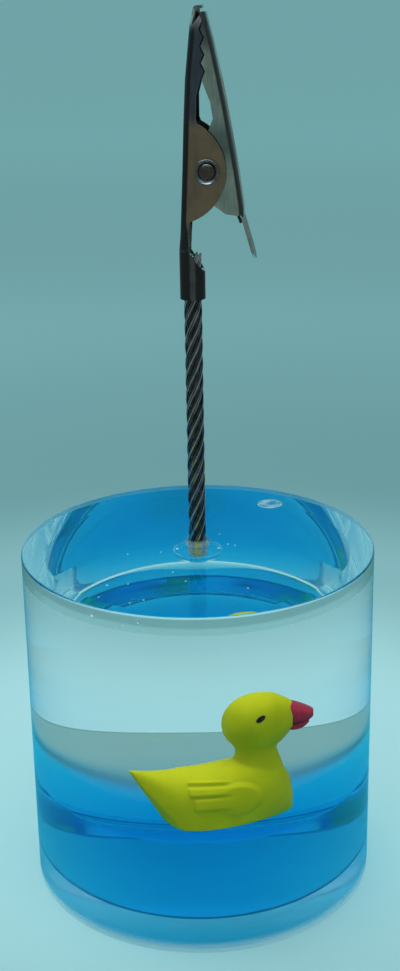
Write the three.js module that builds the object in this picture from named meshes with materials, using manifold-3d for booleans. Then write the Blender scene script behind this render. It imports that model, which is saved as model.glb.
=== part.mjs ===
// Memo holder for a desk: a clear round tank filled with dyed water under clear oil,
// a small duck that floats where they meet, a stranded wire stem and a crocodile clip.
// Millimetres, +Z up, origin on the desk under the tank's axis, front towards -Y.

import * as THREE from 'three';
import { mergeVertices } from 'three/addons/utils/BufferGeometryUtils.js';
import Module from 'manifold-3d';

const wasm = await Module();
wasm.setup();

// Tank: a tube bonded between two full-width discs
const tankDiameter = 60;
const tankWall = 4;
const tubeLength = 53;
const baseThickness = 5;
const lidThickness = 3;
const edgeBevel = 0.4;
const roundSides = 72;

// Liquids in the tank: the oil wets the wall, so the water falls away towards it
const waterDepth = 19.3;
const meniscusDrop = 4.8;
const meniscusReach = 3;
const liquidClearance = 0.1;
const liquidSides = 48;

// Fill hole in the lid, shut by a plug
const plugDiameter = 4;
const plugClearance = 0.3;
const plugFromWall = 2.8;
const plugAngle = 54.7;

// Socket under the lid that holds the stem
const socketDepth = 5.5;
const socketFloor = 2;
const bossWall = 1.3;
const bushWall = 0.5;
const bushClearance = 0.1;
const bushRise = 1.4;
const socketClearance = 0.25;
const glueHeight = 1.2;

// Stem: six strands laid right-handed round a core
const ropeDiameter = 3;
const ropeStrands = 6;
const strandDiameter = 0.96;
const ropeLay = 17.4;
const stemLength = 42.65;
const ropeTuck = 7.25;

// Clip: two folded sheet jaws, heights measured up from the foot of the barrel
const clipTurn = -6;
const sheet = 0.45;
const bendRadius = 1;
const earWidth = 6.4;
const tipWidth = 3.8;
const jawSideGap = 0.3;
const barrelGap = 0.1;
const barrelFront = 4.1;
const barrelBack = 7.65;
const seamWidth = 0.25;
const tailDepth = 1.35;
const earRadius = 8.1;
const earCentreX = -2.3;
const pivotX = 2.84;
const pivotHeight = 20.48;
const cheekRadius = 2.9;
const toothFoot = 34.1;
const toothPitch = 2.45;
const toothCount = 4;
const toothDepth = 0.6;
const biteGap = 0.24;
const biteFootX = 2.35;
const biteTipX = 2.1;
const noseRise = 0.5;
const noseReach = 1.3;
const leverRoot = 13.6;
const leverLength = 7;
const leverFlare = 16;

// Rivet and torsion spring at the pivot
const rivetDiameter = 2;
const rivetHeadDiameter = 3.4;
const rivetHeadHeight = 0.7;
const rivetDimple = 0.3;
const rivetGap = 0.2;
const wireDiameter = 0.5;
const coilRadius = 1.6;
const coilTurns = 2;
const coilPitch = 1;
const springGap = 0.2;
const tailLegHeight = 11.2;
const leverLegHeight = 11.9;

// Duck: u runs from tail to beak, heights measured up from its waterline
const duckFromWall = 7.22;
const duckSink = 2;
const duckBearing = -82;
const duckTurn = 12;
const duckDraught = 0.5;
const duckGap = 0.3;
const beakGap = 0.15;
const headRadius = 4.9;
const headForward = 5.6;
const headHeight = 16.2;
const neckRadius = 2.9;
const snoutLength = 4.9;
const beakLength = 3.5;
const beakWidth = 4.6;
const wingProud = 0.5;
const featherSlot = 0.3;

const tankRadius = tankDiameter / 2;
const boreRadius = tankRadius - tankWall;
const tubeTop = baseThickness + tubeLength;
const lidTop = tubeTop + lidThickness;
const waterTop = baseThickness + waterDepth;
const barrelFoot = lidTop + stemLength;
const rad = THREE.MathUtils.degToRad;

function toSolid(geometry) {
  const bare = geometry.clone();
  bare.deleteAttribute('normal');
  bare.deleteAttribute('uv');
  const welded = mergeVertices(bare, 1e-4);
  const index = welded.index.array;
  const triangles = [];
  for (let i = 0; i < index.length; i += 3) {
    const [a, b, c] = [index[i], index[i + 1], index[i + 2]];
    if (a !== b && b !== c && c !== a) {
      triangles.push(a, b, c);
    }
  }
  return new wasm.Manifold(new wasm.Mesh({
    numProp: 3,
    vertProperties: new Float32Array(welded.attributes.position.array),
    triVerts: new Uint32Array(triangles),
  }));
}

function toGeometry(solid) {
  const mesh = solid.getMesh();
  const geometry = new THREE.BufferGeometry();
  geometry.setAttribute('position', new THREE.BufferAttribute(new Float32Array(mesh.vertProperties), 3));
  geometry.setIndex(new THREE.BufferAttribute(new Uint32Array(mesh.triVerts), 1));
  return geometry;
}

function named(name, geometry, color, roughness, metalness, opacity = 1) {
  const material = new THREE.MeshStandardMaterial({
    color, roughness, metalness, opacity, transparent: opacity < 1,
  });
  const mesh = new THREE.Mesh(geometry, material);
  mesh.name = name;
  return mesh;
}

// Profile of [radius, height] pairs turned round Z
function turned(profile, sides = roundSides) {
  const points = profile.map(([r, z]) => new THREE.Vector2(r, z));
  return new THREE.LatheGeometry(points, sides).rotateX(Math.PI / 2);
}

// Outline of [x, z] pairs pushed through the part along Y, centred on y = 0
function through(outline, width) {
  const shape = new THREE.Shape(outline.map(([x, z]) => new THREE.Vector2(x, z)));
  const geometry = new THREE.ExtrudeGeometry(shape, { depth: width, bevelEnabled: false });
  return geometry.translate(0, 0, -width / 2).rotateX(Math.PI / 2);
}

// Pin along Y at a point of the clip's side view
function crossPin(radius, width, x, z, sides = 24) {
  return new THREE.CylinderGeometry(radius, radius, width, sides).translate(x, 0, z);
}

// Skin over rings of points that all hold the same count, each ring counter-clockwise from above
function loft(rings) {
  const count = rings[0].length;
  const positions = [];
  const index = [];
  for (const ring of rings) {
    for (const p of ring) {
      positions.push(p.x, p.y, p.z);
    }
  }
  for (let i = 0; i + 1 < rings.length; i += 1) {
    for (let j = 0; j < count; j += 1) {
      const a = i * count + j;
      const b = i * count + (j + 1) % count;
      index.push(a, b, b + count, a, b + count, a + count);
    }
  }
  const last = (rings.length - 1) * count;
  const flat = (ring) => ring.map((p) => new THREE.Vector2(p.x, p.y));
  for (const [a, b, c] of THREE.ShapeUtils.triangulateShape(flat(rings[0]), [])) {
    index.push(a, c, b);
  }
  for (const [a, b, c] of THREE.ShapeUtils.triangulateShape(flat(rings[rings.length - 1]), [])) {
    index.push(last + a, last + b, last + c);
  }
  const geometry = new THREE.BufferGeometry();
  geometry.setAttribute('position', new THREE.Float32BufferAttribute(positions, 3));
  geometry.setIndex(index);
  return geometry;
}

// Straight-line value between [at, value] pairs
function between(pairs, at) {
  const ends = pairs[pairs.length - 1];
  if (at <= pairs[0][0]) {
    return pairs[0][1];
  }
  for (let i = 1; i < pairs.length; i += 1) {
    const [z0, v0] = pairs[i - 1];
    const [z1, v1] = pairs[i];
    if (at <= z1) {
      return v0 + (v1 - v0) * (at - z0) / (z1 - z0);
    }
  }
  return ends[1];
}

// Tank
const tankBase = turned([
  [0, 0],
  [tankRadius - edgeBevel, 0],
  [tankRadius, edgeBevel],
  [tankRadius, baseThickness],
  [0, baseThickness],
]);
const tankTube = turned([
  [boreRadius, baseThickness],
  [tankRadius, baseThickness],
  [tankRadius, tubeTop],
  [boreRadius, tubeTop],
  [boreRadius, baseThickness],
]);

const bushInner = ropeDiameter / 2 + bushClearance;
const bushOuter = bushInner + bushWall;
const socketRadius = bushOuter + socketClearance;
const socketBottom = lidTop - socketDepth;
const bossRadius = socketRadius + bossWall;
const bossBottom = socketBottom - socketFloor;
const lidBlank = turned([
  [0, bossBottom],
  [bossRadius * 0.55, bossBottom],
  [bossRadius, bossBottom + socketFloor],
  [bossRadius, tubeTop],
  [tankRadius, tubeTop],
  [tankRadius, lidTop - edgeBevel],
  [tankRadius - edgeBevel, lidTop],
  [socketRadius, lidTop],
  [socketRadius, socketBottom],
  [0, socketBottom],
]);
const plugReach = boreRadius - plugFromWall;
const plugX = plugReach * Math.cos(rad(plugAngle));
const plugY = plugReach * Math.sin(rad(plugAngle));
const fillHole = turned([
  [0, tubeTop - 1],
  [plugDiameter / 2 + plugClearance, tubeTop - 1],
  [plugDiameter / 2 + plugClearance, lidTop + 1],
  [0, lidTop + 1],
], 24).translate(plugX, plugY, 0);
const tankLid = toGeometry(toSolid(lidBlank).subtract(toSolid(fillHole)));
const fillPlug = turned([
  [0, tubeTop + plugClearance],
  [plugDiameter / 2, tubeTop + plugClearance],
  [plugDiameter / 2, lidTop],
  [0, lidTop],
], 24).translate(plugX, plugY, 0);

// Stem and what holds it in the lid
const glueBottom = socketBottom;
const glueTop = glueBottom + glueHeight;
const stemGlue = turned([
  [0, glueBottom],
  [bushOuter, glueBottom],
  [bushOuter, glueTop],
  [0, glueTop],
], 24);
const stemBush = turned([
  [bushInner, glueTop],
  [bushOuter, glueTop],
  [bushOuter, lidTop + bushRise],
  [bushInner, lidTop + bushRise],
  [bushInner, glueTop],
], 24);

const strandOffset = (ropeDiameter - strandDiameter) / 2;
const pointsPerStrand = 4;
const stepsPerLay = 13;
function ropeRing(z) {
  const ring = [];
  const count = ropeStrands * pointsPerStrand;
  const strandAngle = 2 * Math.PI / ropeStrands;
  for (let i = 0; i < count; i += 1) {
    const angle = 2 * Math.PI * i / count;
    const off = angle - strandAngle * Math.round(angle / strandAngle);
    const side = strandOffset * Math.sin(off);
    const bulge = Math.sqrt(Math.max((strandDiameter / 2) ** 2 - side ** 2, 0));
    const r = strandOffset * Math.cos(off) + bulge;
    const laid = angle + 2 * Math.PI * z / ropeLay;
    ring.push(new THREE.Vector3(r * Math.cos(laid), r * Math.sin(laid), z));
  }
  return ring;
}
const ropeTop = barrelFoot + ropeTuck;
const ropeSteps = Math.ceil((ropeTop - glueTop) / ropeLay * stepsPerLay);
const ropeRings = [];
for (let i = 0; i <= ropeSteps; i += 1) {
  ropeRings.push(ropeRing(glueTop + (ropeTop - glueTop) * i / ropeSteps));
}
const wireStem = loft(ropeRings);

// Clip, in its own side view: x to the right, height up from the foot of the barrel
const barrelInner = ropeDiameter / 2 + barrelGap;
const barrelOuter = barrelInner + sheet;
const noseWidth = earWidth - 2 * sheet - 2 * jawSideGap;
const toothTop = toothFoot + toothCount * toothPitch;
const earBottom = pivotHeight - Math.sqrt(earRadius ** 2 - (earCentreX + 0.1) ** 2);
const earTop = pivotHeight + Math.sqrt(earRadius ** 2 - (1.5 - earCentreX) ** 2);

const fixedSpine = [
  [barrelFront, 0.02 - barrelOuter],
  [barrelBack, 0.02 - barrelOuter],
  [barrelBack + 2.5, 0.35 - barrelOuter],
  [earBottom, -1.45],
  [pivotHeight, -1.06],
  [toothFoot, -0.47],
  [toothTop - 2, 0.32],
  [toothTop + noseRise, 0.95],
];
const fixedBend = [
  [barrelBack, barrelOuter * 0.78],
  [earBottom, bendRadius],
];
const fixedHalf = [
  [barrelBack, barrelOuter - 0.05],
  [earBottom, earWidth / 2],
  [earTop, earWidth / 2],
  [toothFoot, noseWidth / 2],
  [toothTop + noseRise, tipWidth / 2],
];
const movingSpine = [
  [leverRoot - 0.6, 8.45],
  [pivotHeight - 5.3, 8.3],
  [pivotHeight, 7.55],
  [toothFoot - 4.2, 5.93],
  [toothFoot, 5.11],
  [toothTop - 4.2, 3.88],
  [toothTop, 2.8],
];
const movingHalf = [
  [toothFoot, noseWidth / 2],
  [toothTop + noseRise, tipWidth / 2],
];
const biteLine = [
  [toothFoot, biteFootX],
  [toothTop, biteTipX],
];
const teeth = [];
for (let i = 0; i <= 2 * toothCount; i += 1) {
  const z = toothFoot + i * toothPitch / 2;
  const side = i % 2 ? 0.5 : -0.5;
  teeth.push([z, between(biteLine, z) + side * toothDepth]);
}
const fixedEdge = [
  [barrelFront, 0.35 - barrelOuter + tailDepth],
  [earBottom - 0.4, -1.45 + tailDepth],
];
const earSteps = 14;
for (let i = 0; i <= earSteps; i += 1) {
  const z = earBottom + (earTop - earBottom) * (1 - Math.cos(Math.PI * i / earSteps)) / 2;
  fixedEdge.push([z, earCentreX + Math.sqrt(earRadius ** 2 - (z - pivotHeight) ** 2)]);
}
fixedEdge.push([earTop + 0.7, 1.25], [toothFoot - 2.2, 1.3]);
for (const [z, x] of teeth) {
  fixedEdge.push([z, x - biteGap / 2]);
}
const movingEdge = [
  [leverRoot, 7.2],
  [leverRoot + 0.25, 5.6],
  [leverRoot + 1.5, 3.9],
];
const cheekSteps = 10;
for (let i = 0; i <= cheekSteps; i += 1) {
  const z = pivotHeight - 0.92 * cheekRadius * Math.cos(Math.PI * i / cheekSteps);
  movingEdge.push([z, pivotX - Math.sqrt(cheekRadius ** 2 - (z - pivotHeight) ** 2)]);
}
movingEdge.push([toothFoot - 5.7, 3.82], [toothFoot - 3.2, 3.4]);
for (const [z, x] of teeth) {
  movingEdge.push([z, x + biteGap / 2]);
}

// One U-shaped slice of a folded jaw whose walls point towards +X or, mirrored, towards -X
function jawSlice(z, spine, edge, half, bend, toward) {
  const depth = Math.max(Math.abs(edge - spine), sheet + 0.1);
  const outer = Math.max(Math.min(bend, depth - 0.05), sheet + 0.03);
  const inner = outer - sheet;
  const arcSteps = 3;
  const line = [[depth, half]];
  for (let i = 0; i <= arcSteps; i += 1) {
    const a = Math.PI / 2 * i / arcSteps;
    line.push([outer - outer * Math.sin(a), half - outer + outer * Math.cos(a)]);
  }
  const inside = [[depth, half - sheet]];
  for (let i = 0; i <= arcSteps; i += 1) {
    const a = Math.PI / 2 * i / arcSteps;
    inside.push([outer - inner * Math.sin(a), half - outer + inner * Math.cos(a)]);
  }
  const mirrored = (points) => points.map(([x, y]) => [x, -y]).reverse();
  const around = [...line, ...mirrored(line), ...mirrored(inside).reverse(), ...inside.reverse()];
  const ring = around.map(([x, y]) => new THREE.Vector3(spine + toward * x, y, z));
  return toward > 0 ? ring : ring.reverse();
}

function foldedJaw(spine, edge, half, bend, toward, foot, top) {
  const levels = [...spine, ...edge, ...half].map(([z]) => z).filter((z) => z > foot && z < top);
  const heights = [foot, ...levels, top].sort((a, b) => a - b);
  const apart = heights.filter((z, i) => i === 0 || z - heights[i - 1] > 0.02);
  const rings = apart.map((z) => jawSlice(
    z, between(spine, z), between(edge, z), between(half, z), between(bend, z), toward,
  ));
  return toSolid(loft(rings));
}

// Fixed jaw: channel, nose curl, cut-back walls at the nose, crimped barrel and rivet hole
const noseTop = toothTop + noseRise;
const spineAt = (z) => between(fixedSpine, z);
const channel = foldedJaw(fixedSpine, fixedEdge, fixedHalf, fixedBend, 1, barrelBack - 1.5, noseTop);
const wallCut = toSolid(through([
  [spineAt(toothTop - 2) + sheet, toothTop - 1.9],
  [biteTipX + 0.4, toothTop + 0.2],
  [biteTipX + 2, toothTop + 0.2],
  [biteTipX + 2, noseTop + 1],
  [spineAt(noseTop) + sheet, noseTop + 1],
], earWidth + 2));
const noseCurl = toSolid(through([
  [spineAt(noseTop), noseTop - 0.1],
  [spineAt(noseTop) + sheet, noseTop - 0.1],
  [spineAt(noseTop) + noseReach, noseTop - 0.05],
  [spineAt(noseTop) + noseReach, noseTop + sheet - 0.15],
  [spineAt(noseTop) + sheet, noseTop + sheet],
], tipWidth - bendRadius));
const barrelTube = toSolid(turned([
  [0, 0],
  [barrelOuter, 0],
  [barrelOuter, barrelBack],
  [0, barrelBack],
], 32));
const tailEdge = 0.35 - barrelOuter + tailDepth;
const barrelCut = toSolid(through([
  [tailEdge, barrelBack],
  [barrelOuter + 1, barrelFront - (barrelBack - barrelFront) * 0.3],
  [barrelOuter + 1, barrelBack + 2],
  [tailEdge, barrelBack + 2],
], earWidth));
const ropeBore = toSolid(turned([
  [0, -1],
  [barrelInner, -1],
  [barrelInner, barrelBack + 2],
  [0, barrelBack + 2],
], 32));
const seam = toSolid(new THREE.BoxGeometry(seamWidth, barrelOuter, 2 * barrelBack)
  .translate(0, -barrelOuter / 2 - barrelInner / 2, 0));
const rivetHole = toSolid(crossPin(rivetDiameter / 2 + rivetGap, earWidth + 2, pivotX, pivotHeight));
const fixedJaw = toGeometry(channel
  .subtract(wallCut)
  .add(noseCurl)
  .add(barrelTube.subtract(barrelCut))
  .subtract(ropeBore)
  .subtract(seam)
  .subtract(rivetHole));

// Moving jaw: channel, flared lever with a round end and rivet hole
const movingSpineAt = (z) => between(movingSpine, z);
const movingChannel = foldedJaw(
  movingSpine, movingEdge, movingHalf, [[0, bendRadius]], -1, leverRoot, toothTop,
);
const leverTop = leverRoot + 0.6;
const leverX = movingSpineAt(leverTop);
const leverLean = leverLength * Math.tan(rad(leverFlare));
const leverFoot = leverRoot - leverLength;
const leverSide = toSolid(through([
  [leverX, leverTop],
  [leverX - sheet, leverTop],
  [leverX - sheet, leverRoot - 0.6],
  [leverX + leverLean - sheet, leverFoot],
  [leverX + leverLean, leverFoot],
  [leverX, leverRoot - 0.6],
], noseWidth - bendRadius));
const leverRound = noseWidth / 2 - bendRadius / 2;
const leverPlan = new THREE.Shape();
leverPlan.moveTo(leverTop + 1, -leverRound);
leverPlan.lineTo(leverTop + 1, leverRound);
leverPlan.lineTo(leverFoot + leverRound * 0.7, leverRound);
leverPlan.quadraticCurveTo(leverFoot, leverRound, leverFoot, 0);
leverPlan.quadraticCurveTo(leverFoot, -leverRound, leverFoot + leverRound * 0.7, -leverRound);
const leverOutline = toSolid(new THREE.ExtrudeGeometry(leverPlan, {
  depth: 20, bevelEnabled: false, curveSegments: 8,
}).applyMatrix4(new THREE.Matrix4().makeBasis(
  new THREE.Vector3(0, 0, 1), new THREE.Vector3(0, 1, 0), new THREE.Vector3(-1, 0, 0),
)).translate(leverX + 10, 0, 0));
const movingJaw = toGeometry(movingChannel
  .add(leverSide.intersect(leverOutline))
  .subtract(rivetHole));

// Rivet with a dimpled head on each ear
const headInside = earWidth / 2 + rivetGap;
const headOutside = headInside + rivetHeadHeight;
const headRound = rivetHeadHeight * 0.6;
const rivetHead = rivetHeadDiameter / 2;
const rivetHalf = [
  [rivetDiameter / 2, headInside],
  [rivetHead, headInside],
  [rivetHead, headOutside - headRound],
  [rivetHead - headRound, headOutside],
  [rivetDimple * 3, headOutside],
  [0, headOutside - rivetDimple],
];
const pivotRivet = turned([
  ...rivetHalf.map(([r, y]) => [r, -y]).reverse(),
  ...rivetHalf,
], 24).rotateX(-Math.PI / 2).translate(pivotX, 0, pivotHeight);

// Torsion spring: a coil round the rivet with one leg on each jaw
function legStart(x, z, side) {
  const away = Math.atan2(z - pivotHeight, x - pivotX);
  const reach = Math.hypot(x - pivotX, z - pivotHeight);
  return away + side * Math.acos(coilRadius / reach);
}
const wireSeat = sheet + wireDiameter / 2 + springGap;
const tailLeg = [spineAt(tailLegHeight) + wireSeat, tailLegHeight];
const leverLegX = leverX + (leverRoot - 0.6 - leverLegHeight) * Math.tan(rad(leverFlare));
const leverLeg = [leverLegX - wireSeat, leverLegHeight];
const startAngle = legStart(...tailLeg, -1) + 2 * Math.PI;
const endAngle = legStart(...leverLeg, 1) - 2 * Math.PI * coilTurns;
const coilSteps = 16 * (coilTurns + 1);
const coilWidth = coilPitch * (startAngle - endAngle) / (2 * Math.PI);
const springPoints = [];
const legSteps = 4;
const onCoil = (share) => {
  const angle = startAngle + (endAngle - startAngle) * share;
  return new THREE.Vector3(
    pivotX + coilRadius * Math.cos(angle),
    coilWidth * (share - 0.5),
    pivotHeight + coilRadius * Math.sin(angle),
  );
};
const tailEnd = new THREE.Vector3(tailLeg[0], -coilWidth / 2, tailLeg[1]);
const leverEnd = new THREE.Vector3(leverLeg[0], coilWidth / 2, leverLeg[1]);
for (let i = 0; i < legSteps; i += 1) {
  springPoints.push(tailEnd.clone().lerp(onCoil(0), i / legSteps));
}
for (let i = 0; i <= coilSteps; i += 1) {
  springPoints.push(onCoil(i / coilSteps));
}
for (let i = 1; i <= legSteps; i += 1) {
  springPoints.push(onCoil(1).lerp(leverEnd, i / legSteps));
}
const springPath = new THREE.CatmullRomCurve3(springPoints);
const wireShape = new THREE.Shape().absarc(0, 0, wireDiameter / 2, 0, 2 * Math.PI);
const torsionSpring = new THREE.ExtrudeGeometry(wireShape, {
  steps: 72, curveSegments: 3, bevelEnabled: false, extrudePath: springPath,
});

// Least clear space between one turn of the spring and another
const samples = springPath.getSpacedPoints(400);
const sampleStep = springPath.getLength() / 400;
let leastGap = Infinity;
for (let i = 0; i < samples.length; i += 1) {
  for (let j = i + Math.ceil(3 * wireDiameter / sampleStep); j < samples.length; j += 1) {
    leastGap = Math.min(leastGap, samples[i].distanceTo(samples[j]) - wireDiameter);
  }
}
console.log(`torsion spring, least gap to itself ${leastGap.toFixed(2)} mm`);

// Duck: flat-bottomed hull, neck, head and feathered wings, from stations of u, low, high and half width
const hullStations = [
  [-13.1, 8.2, 8.9, 0.5],
  [-12, 6.2, 8.85, 1.9],
  [-10.6, 3.4, 8.7, 3.3],
  [-9.2, 0.9, 8.5, 4.3],
  [-8.4, -duckDraught, 8.4, 4.8],
  [-6, -duckDraught, 8.4, 5.5],
  [-3, -duckDraught, 8.8, 5.9],
  [0.5, -duckDraught, 9.4, 6],
  [3.5, -duckDraught, 9.9, 5.8],
  [6, -duckDraught, 9.9, 5.3],
  [8.2, -duckDraught, 8.9, 4.3],
  [9.8, -duckDraught, 6.9, 3],
  [10.8, -duckDraught, 4.4, 1.6],
  [11.1, -duckDraught, 2.4, 0.7],
];
const backOfHead = [15, 32, 50, 70].map((degrees) => {
  const [along, out] = [Math.cos(rad(degrees)), Math.sin(rad(degrees))];
  return [headForward - headRadius * along, headHeight - headRadius * out, headHeight + headRadius * out,
    headRadius * 0.95 * out];
});
const snoutShape = [
  [0, 1, 1, 0.95],
  [0.35, 0.98, 0.98, 0.92],
  [0.6, 0.84, 0.87, 0.81],
  [0.83, 0.6, 0.7, 0.64],
  [1, 0.38, 0.55, 0.48],
];
const headStations = [...backOfHead, ...snoutShape.map(([along, low, high, half]) => [
  headForward + snoutLength * along,
  headHeight - headRadius * low,
  headHeight + headRadius * high,
  headRadius * half,
])];
const beakRoot = headForward + snoutLength - 0.1;
const upperBill = [
  [beakRoot, headHeight - 1.1, headHeight + 2.7, beakWidth / 2],
  [beakRoot + beakLength * 0.6, headHeight - 1.1, headHeight + 1.8, beakWidth * 0.42],
  [beakRoot + beakLength, headHeight - 0.8, headHeight + 0.7, beakWidth * 0.24],
];
const lowerBill = [
  [beakRoot, headHeight - 2.2, headHeight - 1, beakWidth * 0.44],
  [beakRoot + beakLength * 0.45, headHeight - 2.5, headHeight - 1, beakWidth * 0.37],
  [beakRoot + beakLength * 0.8, headHeight - 1.9, headHeight - 1.1, beakWidth * 0.2],
];
const wingFeathers = [
  [-6, 7.2, 5.65],
  [-5.6, 5.65, 4],
  [-4.4, 4, 2.2],
];
const wingFront = 1.2;
const wingBelly = 4.2;
const slotEnd = 0.2;
const alongX = new THREE.Matrix4().makeBasis(
  new THREE.Vector3(0, 1, 0), new THREE.Vector3(0, 0, 1), new THREE.Vector3(1, 0, 0),
);

const duckSides = 28;

function stationRing([u, low, high, half], grow, keel, count) {
  const ring = [];
  for (let i = 0; i < count; i += 1) {
    const a = 2 * Math.PI * i / count;
    const square = Math.sin(a) < 0 ? keel : 0.9;
    const v = Math.sign(Math.cos(a)) * Math.abs(Math.cos(a)) ** square;
    const w = Math.sign(Math.sin(a)) * Math.abs(Math.sin(a)) ** square;
    const tall = (high - low) / 2 + grow;
    ring.push(new THREE.Vector3((half + grow) * v, (low + high) / 2 + tall * w, u));
  }
  return ring;
}

function overStations(stations, grow, keel, count) {
  const placed = stations.map((station) => [...station]);
  placed[0][0] -= grow;
  placed[placed.length - 1][0] += grow;
  return toSolid(loft(placed.map((s) => stationRing(s, grow, keel, count))).applyMatrix4(alongX));
}

// Hull, neck and head with a margin of grow all round
function duckBlank(grow, count) {
  const neckFoot = 6;
  const neckTop = headHeight - headRadius * 0.7;
  const neckLength = neckTop - neckFoot;
  const neck = turned([
    [0, neckFoot],
    [neckRadius + 1.1 + grow, neckFoot],
    [neckRadius + 0.8 + grow, neckFoot + neckLength * 0.295],
    [neckRadius + 0.3 + grow, neckFoot + neckLength * 0.561],
    [neckRadius + grow, neckFoot + neckLength * 0.768],
    [neckRadius + 0.5 + grow, neckTop],
    [0, neckTop],
  ], count).translate(headForward, 0, 0);
  return overStations(hullStations, grow, 0.5, count)
    .add(toSolid(neck))
    .add(overStations(headStations, grow, 0.9, count));
}

// Both wings: an outline with three blunt feathers, pushed across the hull and kept just proud of it
function duckWings() {
  const slot = featherSlot / 2;
  const wing = new THREE.Shape();
  const [[, top], [, , foot]] = [wingFeathers[0], wingFeathers[wingFeathers.length - 1]];
  wing.moveTo(wingFront, top - slot);
  for (const [rear, high, low] of wingFeathers) {
    const round = (high - low) / 2 - slot;
    wing.lineTo(slotEnd, high - slot);
    wing.absarc(rear + round, (high + low) / 2, round, Math.PI / 2, Math.PI * 1.5);
    wing.lineTo(slotEnd, low + slot);
  }
  wing.lineTo(wingFront, foot + slot);
  wing.absellipse(wingFront, (top + foot) / 2, wingBelly, (top - foot) / 2 - slot, -Math.PI / 2, Math.PI / 2);
  const across = new THREE.ExtrudeGeometry(wing, { depth: tankDiameter, bevelEnabled: false, curveSegments: 5 });
  across.translate(0, 0, -tankDiameter / 2).rotateX(Math.PI / 2);
  return toSolid(across).intersect(overStations(hullStations, wingProud, 0.5, duckSides));
}

function duckBill(grow, count) {
  return overStations(upperBill, grow, 0.5, count).add(overStations(lowerBill, grow, 0.9, count));
}

const duckBody = duckBlank(0, duckSides).add(duckWings());
const duckBeak = duckBill(0, 16).subtract(duckBlank(beakGap, duckSides));
const duck = new THREE.Group();
const duckReach = boreRadius - duckFromWall;
duck.position.set(
  duckReach * Math.cos(rad(duckBearing)),
  duckReach * Math.sin(rad(duckBearing)),
  waterTop - duckSink,
);
duck.rotation.z = rad(duckTurn);
duck.add(
  named('duck_body', toGeometry(duckBody), 0xb4c41c, 0.45, 0),
  named('duck_beak', toGeometry(duckBeak), 0x8e2a36, 0.45, 0),
);
duck.updateMatrix();

// Liquids, each with the hollow that the duck makes in it
const swimGap = wingProud + duckGap;
const swimRoom = toSolid(toGeometry(duckBlank(swimGap, 16).add(duckBill(duckGap, 8)))
  .applyMatrix4(duck.matrix));
const liquidRadius = boreRadius - liquidClearance;
const surfaceSteps = 6;
const waterSurface = [];
for (let i = 0; i <= surfaceSteps; i += 1) {
  const fromWall = boreRadius * (1 - i / surfaceSteps) ** 2;
  const fall = meniscusDrop * Math.exp(-fromWall / meniscusReach);
  waterSurface.push([Math.min(boreRadius - fromWall, liquidRadius), waterTop - fall]);
}
const waterBlank = toSolid(turned([
  [0, baseThickness],
  [liquidRadius, baseThickness],
  ...waterSurface.toReversed(),
], liquidSides));
const bossClear = bossRadius + liquidClearance;
const oilBlank = toSolid(turned([
  ...waterSurface,
  [liquidRadius, tubeTop],
  [bossClear, tubeTop],
  [bossClear, bossBottom - liquidClearance],
  [0, bossBottom - liquidClearance],
], liquidSides));
const blueWater = toGeometry(waterBlank.subtract(swimRoom));
const clearOil = toGeometry(oilBlank.subtract(swimRoom));

const clip = new THREE.Group();
clip.position.z = barrelFoot;
clip.rotation.z = rad(clipTurn);
clip.add(
  named('fixed_jaw', fixedJaw, 0x6b6d66, 0.35, 1),
  named('moving_jaw', movingJaw, 0x74786f, 0.32, 1),
  named('pivot_rivet', pivotRivet, 0x8a8a84, 0.25, 1),
  named('torsion_spring', torsionSpring, 0x5a5a58, 0.35, 1),
);

const group = new THREE.Group();
group.add(
  named('tank_base', tankBase, 0xd8eef0, 0.05, 0, 0.3),
  named('tank_wall', tankTube, 0xd8eef0, 0.05, 0, 0.3),
  named('tank_lid', tankLid, 0xd8eef0, 0.05, 0, 0.3),
  named('fill_plug', fillPlug, 0xe4f2f2, 0.1, 0, 0.5),
  named('stem_bush', stemBush, 0xe0ece8, 0.15, 0, 0.5),
  named('stem_glue', stemGlue, 0xcfc58a, 0.3, 0, 0.8),
  named('blue_water', blueWater, 0x0a6cb5, 0.05, 0, 0.6),
  named('clear_oil', clearOil, 0xe6f4f4, 0.05, 0, 0.2),
  named('wire_stem', wireStem, 0x4a5357, 0.35, 1),
  clip,
  duck,
);

export default group;
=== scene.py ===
from math import acos, atan2, ceil, copysign, cos, exp, hypot, pi, radians, sin, sqrt, tan

import bpy
from mathutils import Matrix, Vector


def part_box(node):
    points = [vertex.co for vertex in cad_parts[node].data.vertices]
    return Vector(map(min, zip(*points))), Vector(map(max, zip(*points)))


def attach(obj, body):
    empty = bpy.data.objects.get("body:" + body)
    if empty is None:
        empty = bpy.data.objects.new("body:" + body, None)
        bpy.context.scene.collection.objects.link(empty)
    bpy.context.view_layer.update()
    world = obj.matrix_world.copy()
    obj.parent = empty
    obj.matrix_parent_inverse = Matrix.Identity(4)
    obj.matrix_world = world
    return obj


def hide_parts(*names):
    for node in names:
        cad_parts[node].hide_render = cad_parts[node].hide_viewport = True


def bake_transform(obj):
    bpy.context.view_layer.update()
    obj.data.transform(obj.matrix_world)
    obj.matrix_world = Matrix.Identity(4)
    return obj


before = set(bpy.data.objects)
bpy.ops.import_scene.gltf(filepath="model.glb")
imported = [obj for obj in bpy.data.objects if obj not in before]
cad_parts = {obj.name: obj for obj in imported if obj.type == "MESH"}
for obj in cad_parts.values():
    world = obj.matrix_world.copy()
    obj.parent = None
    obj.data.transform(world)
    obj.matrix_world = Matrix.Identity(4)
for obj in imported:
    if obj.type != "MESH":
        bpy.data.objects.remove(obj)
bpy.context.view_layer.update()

mm = 0.001
print("frame loaded,", len(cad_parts), "nodes")


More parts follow.
